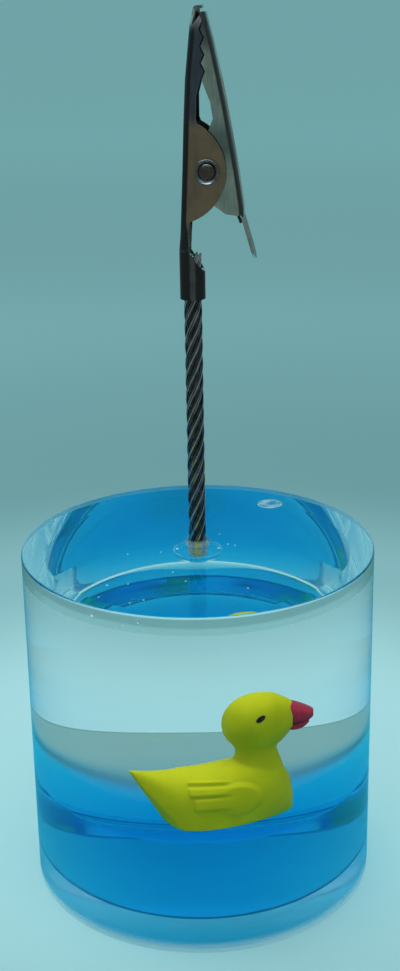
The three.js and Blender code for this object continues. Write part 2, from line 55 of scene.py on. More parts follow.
# shader wiring: a socket that takes part in sums
class Wire:
    def __init__(self, paint, socket):
        self.paint = paint
        self.socket = socket

    def join(self, operation, first, second):
        return self.paint.node("ShaderNodeMath", {"operation": operation}, {0: first, 1: second})

    def __add__(self, other):
        return self.join("ADD", self, other)

    def __sub__(self, other):
        return self.join("SUBTRACT", self, other)

    def __rsub__(self, other):
        return self.join("SUBTRACT", other, self)

    def __mul__(self, other):
        return self.join("MULTIPLY", self, other)


# one node tree, of a material or of the world
class Paint:
    def __init__(self, owner, outputKind="ShaderNodeOutputMaterial"):
        owner.use_nodes = True
        self.owner = owner
        self.tree = owner.node_tree
        self.tree.nodes.clear()
        self.output = self.tree.nodes.new(outputKind)

    def node(self, kind, settings=None, inputs=None, output=0):
        made = self.tree.nodes.new(kind)
        for name, value in (settings or {}).items():
            setattr(made, name, value)
        for name, value in (inputs or {}).items():
            if isinstance(value, Wire):
                self.tree.links.new(value.socket, made.inputs[name])
            else:
                made.inputs[name].default_value = value
        return Wire(self, made.outputs[output])

    def finish(self, surface, volume=None):
        self.tree.links.new(surface.socket, self.output.inputs["Surface"])
        if volume:
            self.tree.links.new(volume.socket, self.output.inputs["Volume"])
        return self.owner


def newPaint(name):
    return Paint(bpy.data.materials.new(name))


def spot(paint):
    return paint.node("ShaderNodeTexCoord", output="Object")


def component(paint, letter, kind="Object"):
    whole = paint.node("ShaderNodeTexCoord", output=kind)
    return paint.node("ShaderNodeSeparateXYZ", {}, {0: whole}, letter)


def ray(paint, kind):
    return paint.node("ShaderNodeLightPath", output=f"Is {kind} Ray")


def unsigned(value):
    return value.paint.node("ShaderNodeMath", {"operation": "ABSOLUTE"}, {0: value})


def distance(at, middle=(0, 0, 0)):
    return at.paint.node("ShaderNodeVectorMath", {"operation": "DISTANCE"}, {0: at, 1: middle}, "Value")


def stretched(at, scale):
    return at.paint.node("ShaderNodeMapping", {}, {"Vector": at, "Scale": scale})


def noise(at, scale, detail, rough=0.5):
    return at.paint.node("ShaderNodeTexNoise", {}, {
        "Vector": at, "Scale": scale, "Detail": detail, "Roughness": rough,
    })


def ramp(value, span, to=(0, 1), unit=1, kind="SMOOTHSTEP"):
    return value.paint.node("ShaderNodeMapRange", {"interpolation_type": kind}, {
        "Value": value, "From Min": span[0] * unit, "From Max": span[1] * unit,
        "To Min": to[0], "To Max": to[1],
    })


def mixed(paint, share, first, second):
    return paint.node("ShaderNodeMix", {"data_type": "RGBA"}, {0: share, 6: first, 7: second}, 2)


def layered(share, under, over):
    return under.paint.node("ShaderNodeMixShader", {}, {0: share, 1: under, 2: over})


def matt(paint, colour, rough, shine=0.5):
    return paint.node("ShaderNodeBsdfPrincipled", {}, {
        "Base Color": colour, "Roughness": rough, "Specular IOR Level": shine,
    })


def srgb(*levels):
    shares = [level / 255 for level in levels]
    return (*(v / 12.92 if v <= 0.04 else ((v + 0.055) / 1.055) ** 2.4 for v in shares), 1)


def clearSelection():
    if bpy.context.mode != "OBJECT":
        bpy.ops.object.mode_set(mode="OBJECT")
    bpy.ops.object.select_all(action="DESELECT")


def pick(piece):
    clearSelection()
    piece.select_set(True)
    bpy.context.view_layer.objects.active = piece


# camera at the photograph's place, worked out from the tank's rim and foot
cameraSet = {
    "place": (-0.45, -231.76, 154.9),  # mm
    "pitch": 0.3451,  # radians, downwards
    "yaw": 0.0045,
    "roll": -0.018,
    "focal": 1462.4,  # in pixels of the frame
    "frameHeight": 971,
    "sensor": 36,
    "nearest": 0.005,  # m
}


def makeCamera(s):
    clearSelection()
    bpy.ops.object.camera_add()
    camera = bpy.context.object
    camera.name = "photoCamera"
    camera.data.sensor_fit = "VERTICAL"
    camera.data.sensor_height = s["sensor"]
    camera.data.lens = s["focal"] / s["frameHeight"] * s["sensor"]
    camera.data.clip_start = s["nearest"]
    turns = ((-s["yaw"], "Z"), (pi / 2 - s["pitch"], "X"), (s["roll"], "Z"))
    yaw, pitch, roll = (Matrix.Rotation(angle, 4, letter) for angle, letter in turns)
    camera.matrix_world = Matrix.Translation(Vector(s["place"]) * mm) @ yaw @ pitch @ roll
    bpy.context.scene.camera = camera


makeCamera(cameraSet)
print("camera set")

# floor and light
stageSet = {
    "floorRadius": 14,  # m
    "floorDrop": 0.05,  # mm under the tank
    # painted light: the floor is painted darker and lighter in rings about a painted pool of light
    "paintedLightPaper": [  # mm from the middle of the pool of light, colour
        (46, (0.345, 0.65, 0.685, 1)), (108, (0.21, 0.445, 0.475, 1)), (174, (0.14, 0.325, 0.345, 1)),
        (434, (0.19, 0.44, 0.46, 1)), (1170, (0.24, 0.58, 0.6, 1)),
    ],
    "paintedPoolMiddle": (0, 30, 0),
    "paperFront": (26, 70),  # mm, where the paper ends for reflections
    "paperSide": (140, 300),
    "paperRough": 0.75,
    "paperShine": 0.1,
    "skyTop": 0.85,  # light that falls on matt surfaces
    "skySide": 0.22,
    "backSeen": srgb(122, 172, 173),  # what clear and bright surfaces show of the room
    "backReach": (-0.35, 0.35),
    "frontSeen": srgb(104, 116, 114),
    "frontThrough": srgb(96, 140, 146),
    "topSeen": srgb(140, 190, 221),
    "topReach": (0.5, 0.66),
    "farSeen": srgb(111, 163, 166),  # past the floor's far edge
    "lampAim": (0, 0, 45),  # mm
}
lampSet = [
    # name, place in mm, width and depth in mm, power in watts, shown in gloss
    ("keyLamp", (-170, 80, 560), (480, 480), 1.45, True),
    ("fillLamp", (380, -260, 330), (260, 260), 0.25, False),
    ("stripLamp", (0, -150, 500), (500, 100), 0.32, True),
]


def floorFinish(s):
    paint = newPaint("paleFloor")
    # painted light: the floor's colour darkens and brightens in rings about the middle of a painted pool of
    # light
    away = distance(spot(paint), Vector(s["paintedPoolMiddle"]) * mm)
    colour = s["paintedLightPaper"][0][1]
    for (start, _), (end, tone) in zip(s["paintedLightPaper"], s["paintedLightPaper"][1:]):
        colour = mixed(paint, ramp(away, (start, end), unit=mm), colour, tone)
    paintedLightPaper = matt(paint, colour, s["paperRough"], s["paperShine"])
    # gloss shows the darker room past the paper's front and side edges
    front = ramp(0 - component(paint, "Y"), s["paperFront"], unit=mm)
    side = ramp(unsigned(component(paint, "X")), s["paperSide"], unit=mm)
    past = 1 - (1 - front) * (1 - side)
    room = paint.node("ShaderNodeEmission", {}, {"Color": s["frontSeen"], "Strength": 1})
    return paint.finish(layered(past * ray(paint, "Glossy"), paintedLightPaper, room))


def makeStage(s):
    clearSelection()
    bpy.ops.mesh.primitive_circle_add(
        vertices=96, radius=s["floorRadius"], fill_type="NGON", location=(0, 0, -s["floorDrop"] * mm))
    floor = bpy.context.object
    floor.name = "floor"
    floor.data.materials.append(floorFinish(s))
    for name, lampPlace, size, power, shown in lampSet:
        bpy.ops.object.light_add(type="AREA", location=Vector(lampPlace) * mm)
        lamp = bpy.context.object
        lamp.name = name
        lamp.data.shape = "RECTANGLE"
        lamp.data.size, lamp.data.size_y = size[0] * mm, size[1] * mm
        lamp.data.energy = power
        lamp.visible_transmission = False
        lamp.visible_glossy = shown
        aim = Vector(s["lampAim"]) * mm - lamp.location
        lamp.rotation_euler = aim.to_track_quat("-Z", "Y").to_euler()
    world = bpy.data.worlds.new("studio")
    bpy.context.scene.world = world
    sky = Paint(world, "ShaderNodeOutputWorld")
    height = component(sky, "Z", "Generated")
    toBack = ramp(component(sky, "Y", "Generated"), s["backReach"])
    camera, glossy, through = (ray(sky, kind) for kind in ("Camera", "Glossy", "Transmission"))
    around = mixed(sky, toBack, mixed(sky, glossy, s["frontThrough"], s["frontSeen"]), s["backSeen"])
    around = mixed(sky, camera, around, s["farSeen"])
    room = mixed(sky, ramp(height, s["topReach"]), around, s["topSeen"])
    seen = sky.node("ShaderNodeBackground", {}, {"Color": room, "Strength": 1})
    level = ramp(height, (0, 1), (s["skySide"], s["skyTop"]), kind="LINEAR")
    light = sky.node("ShaderNodeBackground", {}, {"Color": (1, 1, 1, 1), "Strength": level})
    sky.finish(layered(camera + glossy + through, light, seen))


makeStage(stageSet)
scene = bpy.context.scene
scene.view_settings.view_transform = "Standard"
scene.cycles.max_bounces = 32
scene.cycles.transmission_bounces = 32
scene.cycles.transparent_max_bounces = 64
scene.cycles.glossy_bounces = 12
print("stage and light set")

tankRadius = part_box("tank_base")[1].x / mm
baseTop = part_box("tank_base")[1].z / mm
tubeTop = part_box("tank_wall")[1].z / mm
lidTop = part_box("tank_lid")[1].z / mm
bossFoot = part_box("tank_lid")[0].z / mm
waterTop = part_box("blue_water")[1].z / mm
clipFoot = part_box("fixed_jaw")[0].z / mm

# clear finishes: a face between two clear stuffs bends light by the ratio of their indices
patchSpan = (0.35, 0.65)  # the part of a noise that patches are made of
clearSet = {
    "acrylic": 1.49,
    "oil": 1.4644,
    "water": 1.372,
    "tint": (0.97, 0.995, 1, 1),
    "gloss": (0.1, 0.6, 0.8, 1),
    "edgeTint": (0.8, 0.91, 0.9, 1),
    "edgeWithin": (0.45, 0.7, 0.72, 1),
    "turnedWithin": (0.22, 0.74, 0.95, 1),
    "shade": (0.9, 0.93, 0.94, 1),  # what a clear face keeps back of the light that falls through it
    "dyeColour": (0.0, 0.834, 0.957, 1),
    "dyeDensity": 128,  # per metre
    # the ground bottom, under the water and under the wall
    "ground": {"share": 0.3, "reach": (26, 29.5), "middle": (0.02, 0.46, 0.7, 1),
               "rim": (0.2, 0.62, 0.72, 1)},
    "groundRough": 0.8,
    # the base's side turns pale and matt towards its lower edge, heights in mm up the side
    "scuff": {"reach": (2.4, 0.2), "uneven": 1.2, "drawn": (60, 60, 1500), "share": 0.75,
              "colour": (0.56, 0.84, 0.86, 1)},
    "plugClouds": {"patch": 460, "cloud": (0.02, 0.55), "colour": (0.42, 0.63, 0.57, 1)},
    "wornRough": 0.6,
}


def clearFinish(name, index, tint=(1, 1, 1, 1), gloss=None, rough=0.0, shade=(1, 1, 1, 1), ground=None,
                within=None, scuff=None, clouds=None):
    paint = newPaint(name)
    glass = paint.node("ShaderNodeBsdfPrincipled", {}, {
        "Base Color": within or tint, "Roughness": rough, "IOR": index, "Transmission Weight": 1,
    })
    if gloss:
        # from the air side the gloss takes the cast of the studio
        bent = paint.node("ShaderNodeBsdfRefraction", {}, {"Color": tint, "Roughness": rough, "IOR": index})
        shine = paint.node("ShaderNodeBsdfAnisotropic", {}, {"Color": gloss, "Roughness": rough})
        outside = layered(paint.node("ShaderNodeFresnel", {}, {"IOR": index}), bent, shine)
        glass = layered(paint.node("ShaderNodeNewGeometry", output="Backfacing"), outside, glass)
    if ground:
        toRim = ramp(distance(spot(paint)), ground["reach"], unit=mm)
        colour = mixed(paint, toRim, ground["middle"], ground["rim"])
        glass = layered(ground["share"], glass, matt(paint, colour, clearSet["groundRough"]))
    # paler and matt towards the lower edge of the side
    if scuff:
        drawn = noise(stretched(spot(paint), scuff["drawn"]), 1, 4)
        height = component(paint, "Z") + (drawn - 0.5) * (scuff["uneven"] * mm)
        low = ramp(height, scuff["reach"], (0, scuff["share"]), mm)
        glass = layered(low, glass, matt(paint, scuff["colour"], clearSet["wornRough"]))
    if clouds:
        share = ramp(noise(spot(paint), clouds["patch"], 3), patchSpan, clouds["cloud"], kind="LINEAR")
        glass = layered(share, glass, matt(paint, clouds["colour"], clearSet["wornRough"]))
    through = paint.node("ShaderNodeBsdfTransparent", {}, {"Color": shade})
    return paint.finish(layered(ray(paint, "Shadow") + ray(paint, "Diffuse"), glass, through))


def outerFinish(name, rough=0.0, tint=clearSet["tint"], **extras):
    return clearFinish(name, clearSet["acrylic"], tint, clearSet["gloss"], rough, clearSet["shade"], **extras)


def openFinish(name, dye=None):
    paint = newPaint(name)
    through = paint.node("ShaderNodeBsdfTransparent", {}, {"Color": (1, 1, 1, 1)})
    volume = None
    if dye:
        volume = paint.node("ShaderNodeVolumeAbsorption", {}, {
            "Color": dye["dyeColour"], "Density": dye["dyeDensity"],
        })
    return paint.finish(through, volume)


finishes = {
    "acrylic": outerFinish("polishedAcrylic"),
    "ground": outerFinish("groundAcrylic", 0.05, ground=clearSet["ground"]),
    "turned": outerFinish("turnedAcrylicEdge", 0.14, within=clearSet["turnedWithin"],
                          scuff=clearSet["scuff"]),
    "edge": outerFinish("sawnAcrylicEdge", 0.3, clearSet["edgeTint"], within=clearSet["edgeWithin"]),
    "plugTop": outerFinish("cloudedPlugTop", 0.05, clouds=clearSet["plugClouds"]),
    "acrylicOil": clearFinish("acrylicAgainstOil", clearSet["acrylic"] / clearSet["oil"]),
    "acrylicWater": clearFinish("acrylicAgainstWater", clearSet["acrylic"] / clearSet["water"]),
    "oilWater": clearFinish("oilOnWater", clearSet["oil"] / clearSet["water"], rough=0.08),
    "bond": openFinish("bondedFace"),
    "oil": openFinish("clearOilBody"),
    "water": openFinish("dyedWaterBody", clearSet),
}

# cloudy finishes: part clear, part matt, in patches
cloudySet = {
    "bush": {"patch": 1400, "cloud": (0.35, 0.8), "colour": (0.3, 0.52, 0.62, 1),
             "stain": (0.36, 0.42, 0.16, 1), "streak": (0.25, 0.75), "clearFrom": lidTop + 0.9},
    "glue": {"patch": 1800, "cloud": (0.3, 0.6), "colour": (0.22, 0.42, 0.5, 1),
             "stain": (0.36, 0.4, 0.1, 1), "streak": (0.4, 1.2), "clearFrom": lidTop},
    "seam": {"patch": 300, "cloud": (0.6, 0.9), "colour": (0.0, 0.07, 0.22, 1)},
    # painted highlight: bubbles painted pale and partly matt
    "bubble": {"patch": 900, "cloud": (0.45, 0.85), "colour": (0.75, 0.9, 0.94, 1)},
    "plug": {"patch": 600, "cloud": (-0.1, 0.8), "colour": (0.6, 0.8, 0.84, 1)},
    "halo": {"patch": 700, "cloud": (-0.05, 0.3), "colour": (0.3, 0.7, 0.82, 1)},
}
stainSet = {"uneven": 1.6, "edge": 0.1, "share": 0.35, "above": 0.25}
cloudyRough = 0.45


def cloudyFinish(name, s):
    paint = newPaint(name)
    patch = noise(spot(paint), s["patch"], 3)
    share = ramp(patch, patchSpan, s["cloud"], kind="LINEAR")
    colour = s["colour"]
    if "stain" in s:
        # stained down the middle, and clearer above
        off = unsigned(component(paint, "X") + (patch - 0.5) * (stainSet["uneven"] * mm))
        beside = ramp(off, s["streak"], unit=mm)
        colour = mixed(paint, beside, s["stain"], colour)
        fade = (s["clearFrom"] + stainSet["edge"], s["clearFrom"] - stainSet["edge"])
        low = ramp(component(paint, "Z"), fade, (stainSet["above"], 1), mm)
        share = (share + (1 - beside) * stainSet["share"]) * low
    through = paint.node("ShaderNodeBsdfTransparent", {}, {"Color": (0.96, 0.98, 0.97, 1)})
    return paint.finish(layered(share, through, matt(paint, colour, cloudyRough)))


# solid finishes: two tones that drift over the piece, uneven gloss and a fine bump
def along(scale, stretch):
    return (scale, scale, scale / stretch)


jawGrain = {"metal": 1, "grain": along(2600, 12), "cloud": 420, "streaks": 0.45, "bump": 0.25}
pinGrain = {"metal": 1, "grain": along(3000, 1), "cloud": 900, "streaks": 0.5, "bump": 0.12}
solidSet = {  # bands: tint, from and to in mm above the clip's foot
    "fixedJaw": {
        **jawGrain, "dark": (0.14, 0.14, 0.15, 1), "light": (0.28, 0.275, 0.285, 1), "gloss": (0.2, 0.36),
        # painted shade on the bends, below bendTop
        "paintedBendShade": (0.06, 0.063, 0.068, 1), "bendEnd": (1.1, 1.2), "bendTop": 41.5,
        # painted reflection: the brown band on the ear; painted highlight: the near-white band at the nose
        "bands": [((0.46, 0.35, 0.22, 1), 12.2, 28), ((0.11, 0.155, 0.2, 1), 28, 41.5),
                  ((0.95, 0.97, 0.95, 1), 42.6, 44.2)],
    },
    "movingJaw": {
        **jawGrain, "dark": (0.42, 0.54, 0.48, 1), "light": (0.68, 0.82, 0.74, 1), "gloss": (0.16, 0.3),
        # painted shade on the bends, below bendTop
        "paintedBendShade": (0.12, 0.125, 0.12, 1), "bendEnd": (0.93, 0.99), "bendTop": 48,
        "bands": [((0.13, 0.14, 0.17, 1), 38.8, 46), ((0.22, 0.3, 0.3, 1), 22.3, 27)],
    },
    "rivet": {
        **pinGrain, "dark": (0.12, 0.095, 0.085, 1), "light": (0.24, 0.2, 0.17, 1), "gloss": (0.1, 0.22),
    },
    "rivetRim": {
        **pinGrain, "dark": (0.2, 0.195, 0.18, 1), "light": (0.36, 0.35, 0.33, 1), "gloss": (0.08, 0.16),
    },
    "spring": {
        **pinGrain, "dark": (0.06, 0.06, 0.065, 1), "light": (0.14, 0.14, 0.15, 1), "gloss": (0.2, 0.36),
        "bump": 0.15,
    },
    "rope": {
        "dark": (0.055, 0.068, 0.088, 1), "light": (0.17, 0.195, 0.225, 1), "metal": 1, "gloss": (0.2, 0.4),
        "grain": along(2400, 6), "cloud": 650, "streaks": 0.4, "bump": 0.15,
        "bands": [((0.7, 0.76, 0.76, 1), 5.6, 12)],
        # painted highlight along the outside of each strand
        "crest": (1.38, 1.47), "crestTint": (0.72, 0.7, 0.67, 1),
    },
    "duck": {
        "dark": (0.37, 0.435, 0.002, 1), "light": (0.455, 0.535, 0.003, 1), "metal": 0, "gloss": (0.5, 0.62),
        # painted top light: the duck is painted paler where it faces up
        "paintedTopLight": (0.56, 0.62, 0.003, 1), "topReach": (0.35, 0.95),
        "grain": along(1500, 1), "cloud": 190, "streaks": 0.25, "bump": 0.12, "shine": 0.08,
    },
    "bill": {
        "dark": (0.29, 0.014, 0.036, 1), "light": (0.44, 0.026, 0.064, 1), "metal": 0, "gloss": (0.3, 0.45),
        "grain": along(1800, 1), "cloud": 700, "streaks": 0.35, "bump": 0.15, "shine": 0.12,
    },
    "eye": {
        "dark": (0.004, 0.004, 0.004, 1), "light": (0.016, 0.016, 0.014, 1), "metal": 0, "gloss": (0.2, 0.34),
        "grain": along(2600, 1), "cloud": 1500, "streaks": 0.5, "bump": 0.1, "shine": 0.15,
    },
}
grainSet = {
    "toneSpan": (0.36, 0.64), "glossSpan": (0.3, 0.7), "bumpDepth": 0.05, "bandEdge": 1.5, "bandShare": 0.35,
    "bendSpan": (0.12, 0.3), "bendEdge": 1, "paintedTopLightShare": (0.7, 1), "crestShare": 0.25,
}


def solidFinish(name, s):
    g = grainSet
    paint = newPaint(name)

    def rise(height, edge):
        return ramp(component(paint, "Z") - clipFoot * mm, (height - edge, height + edge), unit=mm)

    streak = noise(stretched(spot(paint), s["grain"]), 1, 5, 0.6)
    cloud = noise(spot(paint), s["cloud"], 3)
    tone = ramp(streak * s["streaks"] + cloud * (1 - s["streaks"]), g["toneSpan"], kind="LINEAR")
    colour = mixed(paint, tone, s["dark"], s["light"])
    # bands of tint by height; on the fixed jaw they include a painted reflection and a painted highlight
    for tint, low, high in s.get("bands", []):
        share = rise(low, g["bandEdge"]) * (1 - rise(high, g["bandEdge"])) * (cloud + g["bandShare"])
        colour = mixed(paint, share, colour, tint)
    if "paintedBendShade" in s:
        # painted shade: the bends are painted dark, standing in for the dark surroundings they reflect
        sideways = unsigned(component(paint, "X", "Normal"))
        bent = ramp(sideways, g["bendSpan"]) * (1 - ramp(sideways, s["bendEnd"]))
        colour = mixed(paint, bent * (1 - rise(s["bendTop"], g["bendEdge"])), colour, s["paintedBendShade"])
    if "paintedTopLight" in s:
        # painted top light: paler where it faces up, as if lit from above
        upward = ramp(component(paint, "Z", "Normal"), s["topReach"])
        paintedTopLightMask = upward * ramp(tone, (0, 1), g["paintedTopLightShare"], kind="LINEAR")
        colour = mixed(paint, paintedTopLightMask, colour, s["paintedTopLight"])
    if "crest" in s:
        # painted highlight: the outside of each strand is painted lighter, along the strands
        across = paint.node("ShaderNodeVectorMath", {"operation": "MULTIPLY"}, {0: spot(paint), 1: (1, 1, 0)})
        share = ramp(distance(across), s["crest"], unit=mm) * (cloud + g["crestShare"])
        colour = mixed(paint, share, colour, s["crestTint"])
    rough = ramp(streak, g["glossSpan"], s["gloss"], kind="LINEAR")
    bump = paint.node("ShaderNodeBump", {}, {
        "Height": streak, "Strength": s["bump"], "Distance": g["bumpDepth"] * mm,
    })
    return paint.finish(paint.node("ShaderNodeBsdfPrincipled", {}, {
        "Base Color": colour, "Roughness": rough, "Metallic": s["metal"], "Normal": bump,
        "Specular IOR Level": s.get("shine", 0.5),
    }))


for mixFinish, finishSet in ((cloudyFinish, cloudySet), (solidFinish, solidSet)):
    for finishName, finishValues in finishSet.items():
        finishes[finishName] = mixFinish(finishName + "Finish", finishValues)
print("finishes mixed")

# tools for shaping
weldReach = 1e-6  # m
thinnest = 1e-7


def modify(piece, kind, **settings):
    pick(piece)
    bpy.ops.object.modifier_add(type=kind)
    modifier = piece.modifiers[-1]
    for name, value in settings.items():
        setattr(modifier, name, value)
    bpy.ops.object.modifier_apply(modifier=modifier.name)


def cutAway(piece, cutter, operation="DIFFERENCE"):
    modify(piece, "BOOLEAN", operation=operation, object=cutter, solver="EXACT")
    bpy.data.objects.remove(cutter)


def joinPieces(first, *others):
    pick(first)
    for other in others:
        other.select_set(True)
    bpy.ops.object.join()
    return first


def smooth(piece, degrees=35):
    pick(piece)
    bpy.ops.object.shade_smooth_by_angle(angle=radians(degrees))


def toOrigin(piece):
    piece.data.transform(piece.matrix_world)
    piece.matrix_world = Matrix.Identity(4)
    return piece


def openMesh(piece):
    pick(piece)
    bpy.ops.object.mode_set(mode="EDIT")
    bpy.ops.mesh.select_all(action="SELECT")


def closeMesh():
    bpy.ops.mesh.select_all(action="SELECT")
    bpy.ops.mesh.normals_make_consistent(inside=False)
    bpy.ops.object.mode_set(mode="OBJECT")


def tidyMesh(piece, capped=False):
    openMesh(piece)
    bpy.ops.mesh.remove_doubles(threshold=weldReach)
    bpy.ops.mesh.dissolve_degenerate(threshold=thinnest)
    if capped:
        bpy.ops.mesh.select_all(action="SELECT")
        bpy.ops.mesh.fill_holes(sides=0)
    closeMesh()


# a line drawn point by point, in mm, and left selected
def drawLine(name, points):
    clearSelection()
    bpy.ops.mesh.primitive_plane_add(size=0.01)
    piece = bpy.context.object
    piece.name = name
    bpy.ops.object.mode_set(mode="EDIT")
    bpy.ops.mesh.merge(type="CENTER")
    at = Vector(points[0]) * mm
    bpy.ops.transform.translate(value=at)
    for point in points[1:]:
        step = Vector(point) * mm - at
        bpy.ops.mesh.extrude_region_move(TRANSFORM_OT_translate={"value": step})
        at = at + step
    bpy.ops.mesh.select_all(action="SELECT")
    return piece


# a profile of [radius, height] spun round Z
def spinProfile(name, profile, steps):
    piece = drawLine(name, [(radius, 0, height) for radius, height in profile])
    bpy.ops.mesh.spin(steps=steps, angle=2 * pi, center=(0, 0, 0), axis=(0, 0, 1))
    bpy.ops.mesh.select_all(action="SELECT")
    bpy.ops.mesh.remove_doubles(threshold=weldReach)
    closeMesh()
    return toOrigin(piece)


# an outline of [x, z] pushed through along Y
def prism(name, outline, width):
    piece = drawLine(name, [(x, -width / 2, z) for x, z in [*outline, outline[0]]])
    bpy.ops.mesh.remove_doubles(threshold=weldReach)
    bpy.ops.mesh.edge_face_add()
    bpy.ops.mesh.extrude_region_move(TRANSFORM_OT_translate={"value": (0, width * mm, 0)})
    closeMesh()
    return toOrigin(piece)


# rounded corner of a profile, with a point just before and after it that keeps the flats flat
def roundCorner(centre, radius, start, end, steps=5, hold=0.03):
    points = []
    for i in range(steps + 1):
        a = radians(start + (end - start) * i / steps)
        points.append((centre[0] + radius * cos(a), centre[1] + radius * sin(a)))
    turn = copysign(hold, end - start)
    first, last = radians(start), radians(end)
    before = (points[0][0] + turn * sin(first), points[0][1] - turn * cos(first))
    after = (points[-1][0] - turn * sin(last), points[-1][1] + turn * cos(last))
    return [before, *points, after]


# a grid whose points are moved to shape(column, row), in mm
def bentGrid(name, columns, rows, shape, capped=False):
    clearSelection()
    bpy.ops.mesh.primitive_grid_add(x_subdivisions=columns, y_subdivisions=rows, size=2)
    piece = bpy.context.object
    piece.name = name
    for vertex in piece.data.vertices:
        column = round((vertex.co.x + 1) / 2 * columns)
        row = round((vertex.co.y + 1) / 2 * rows)
        vertex.co = Vector(shape(column, row)) * mm
    tidyMesh(piece, capped)
    return piece


# round wires along paths of points in mm
def bendWires(name, paths, radius, roundness):
    curve = bpy.data.curves.new(name, "CURVE")
    curve.dimensions = "3D"
    curve.bevel_depth = radius * mm
    curve.bevel_resolution = roundness
    curve.use_fill_caps = True
    for path in paths:
        spline = curve.splines.new("POLY")
        spline.points.add(len(path) - 1)
        for point, at in zip(spline.points, path):
            point.co = (*(Vector(at) * mm), 1)
    piece = bpy.data.objects.new(name, curve)
    bpy.context.collection.objects.link(piece)
    pick(piece)
    bpy.ops.object.convert(target="MESH")
    piece = bpy.context.object
    tidyMesh(piece)
    return piece


# straight line through rows of [at, value]: the value at one place
def between(rows, at):
    if at <= rows[0][0]:
        return rows[0][1]
    for (low, first), (high, second) in zip(rows, rows[1:]):
        if at <= high:
            return first + (second - first) * (at - low) / (high - low)
    return rows[-1][1]


# smooth line through rows of [at, value, ...]: the values at one place
def flowing(rows, at):
    last = len(rows) - 2
    i = next((k for k in range(last + 1) if at <= rows[k + 1][0]), last)

    def slope(k, item):
        before, after = rows[max(k - 1, 0)], rows[min(k + 1, last + 1)]
        return (after[item] - before[item]) / (after[0] - before[0])

    wide = rows[i + 1][0] - rows[i][0]
    t = min(max((at - rows[i][0]) / wide, 0), 1)
    values = []
    for item in range(1, len(rows[0])):
        start, end = rows[i][item], rows[i + 1][item]
        values.append(
            (2 * t ** 3 - 3 * t ** 2 + 1) * start + (t ** 3 - 2 * t ** 2 + t) * wide * slope(i, item)
            + (3 * t ** 2 - 2 * t ** 3) * end + (t ** 3 - t ** 2) * wide * slope(i + 1, item))
    return values


def rampUp(value, low, high):
    t = min(max((value - low) / (high - low), 0), 1)
    return t * t * (3 - 2 * t)


# finishes by face, picked from its middle in mm and its normal, or one finish all over
def dress(piece, names, choose=None):
    for name in names:
        piece.data.materials.append(finishes[name])
    for face in piece.data.polygons:
        face.material_index = names.index(choose(face.center / mm, face.normal)) if choose else 0
    return piece


def place(piece, body, slotName, *nodes):
    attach(piece, body)
    if nodes:
        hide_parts(*nodes)


tankSet = {
    "bore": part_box("blue_water")[1].x / mm + 0.1,
    "edgeRound": 0.35,
    "seam": 0.9,
    "steps": 256,
    "bossRadius": 3.85,
    "bossNose": 0.55,  # share of its radius that is flat below
    "socketRadius": 1.8,
    "socketFloor": 2,
    "liquidGap": 0.04,
    "meniscusDrop": 4.8,  # the oil wets the wall, so the water falls away towards it
    "meniscusReach": 3,
    "surfaceSteps": 24,
    "plugRadius": 2.27,
    "holeRadius": 2.3,
    "holeReach": 1,  # of its cutter, past the lid
    "plugChamfer": 0.3,
    "plugSteps": 64,
}
plugLow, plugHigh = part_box("fill_plug")
plugAt = (plugLow + plugHigh) / 2
flatFrom, uprightTo = 0.9, 0.2  # how high a normal stands on a flat and on an upright face
faceSlack = 0.1  # mm


# the water's surface, from the axis to the wall
def liquidSurface(s, out, sink=0):
    points = []
    for i in range(s["surfaceSteps"] + 1):
        fromWall = s["bore"] * (1 - i / s["surfaceSteps"]) ** 2
        fall = s["meniscusDrop"] * exp(-fromWall / s["meniscusReach"])
        points.append((min(s["bore"] - fromWall, out), waterTop - fall - sink))
    return points


def makeBase(s):
    e = s["edgeRound"]
    profile = [(0, 0), *roundCorner((tankRadius - e, e), e, -90, 0), (tankRadius, baseTop),
               (s["bore"], baseTop), (s["bore"] - s["seam"], baseTop), (0, baseTop)]
    base = spinProfile("tankBase", profile, s["steps"])

    def choose(at, normal):
        if normal.z > flatFrom:
            out = hypot(at.x, at.y)
            if out > s["bore"]:
                return "bond"
            return "seam" if out > s["bore"] - s["seam"] else "acrylicWater"
        return "ground" if normal.z < -flatFrom else "turned"

    return dress(base, ["turned", "ground", "bond", "acrylicWater", "seam"], choose)


def makeWall(s):
    contact = waterTop - s["meniscusDrop"]
    profile = [(s["bore"], baseTop), (tankRadius, baseTop), (tankRadius, tubeTop), (s["bore"], tubeTop),
               (s["bore"], contact), (s["bore"], baseTop)]
    wall = spinProfile("tankWall", profile, s["steps"])
    middle = (s["bore"] + tankRadius) / 2

    def choose(at, normal):
        if abs(normal.z) > flatFrom:
            return "bond"
        if hypot(at.x, at.y) > middle:
            return "acrylic"
        return "acrylicOil" if at.z > contact else "acrylicWater"

    return dress(wall, ["acrylic", "bond", "acrylicOil", "acrylicWater"], choose)


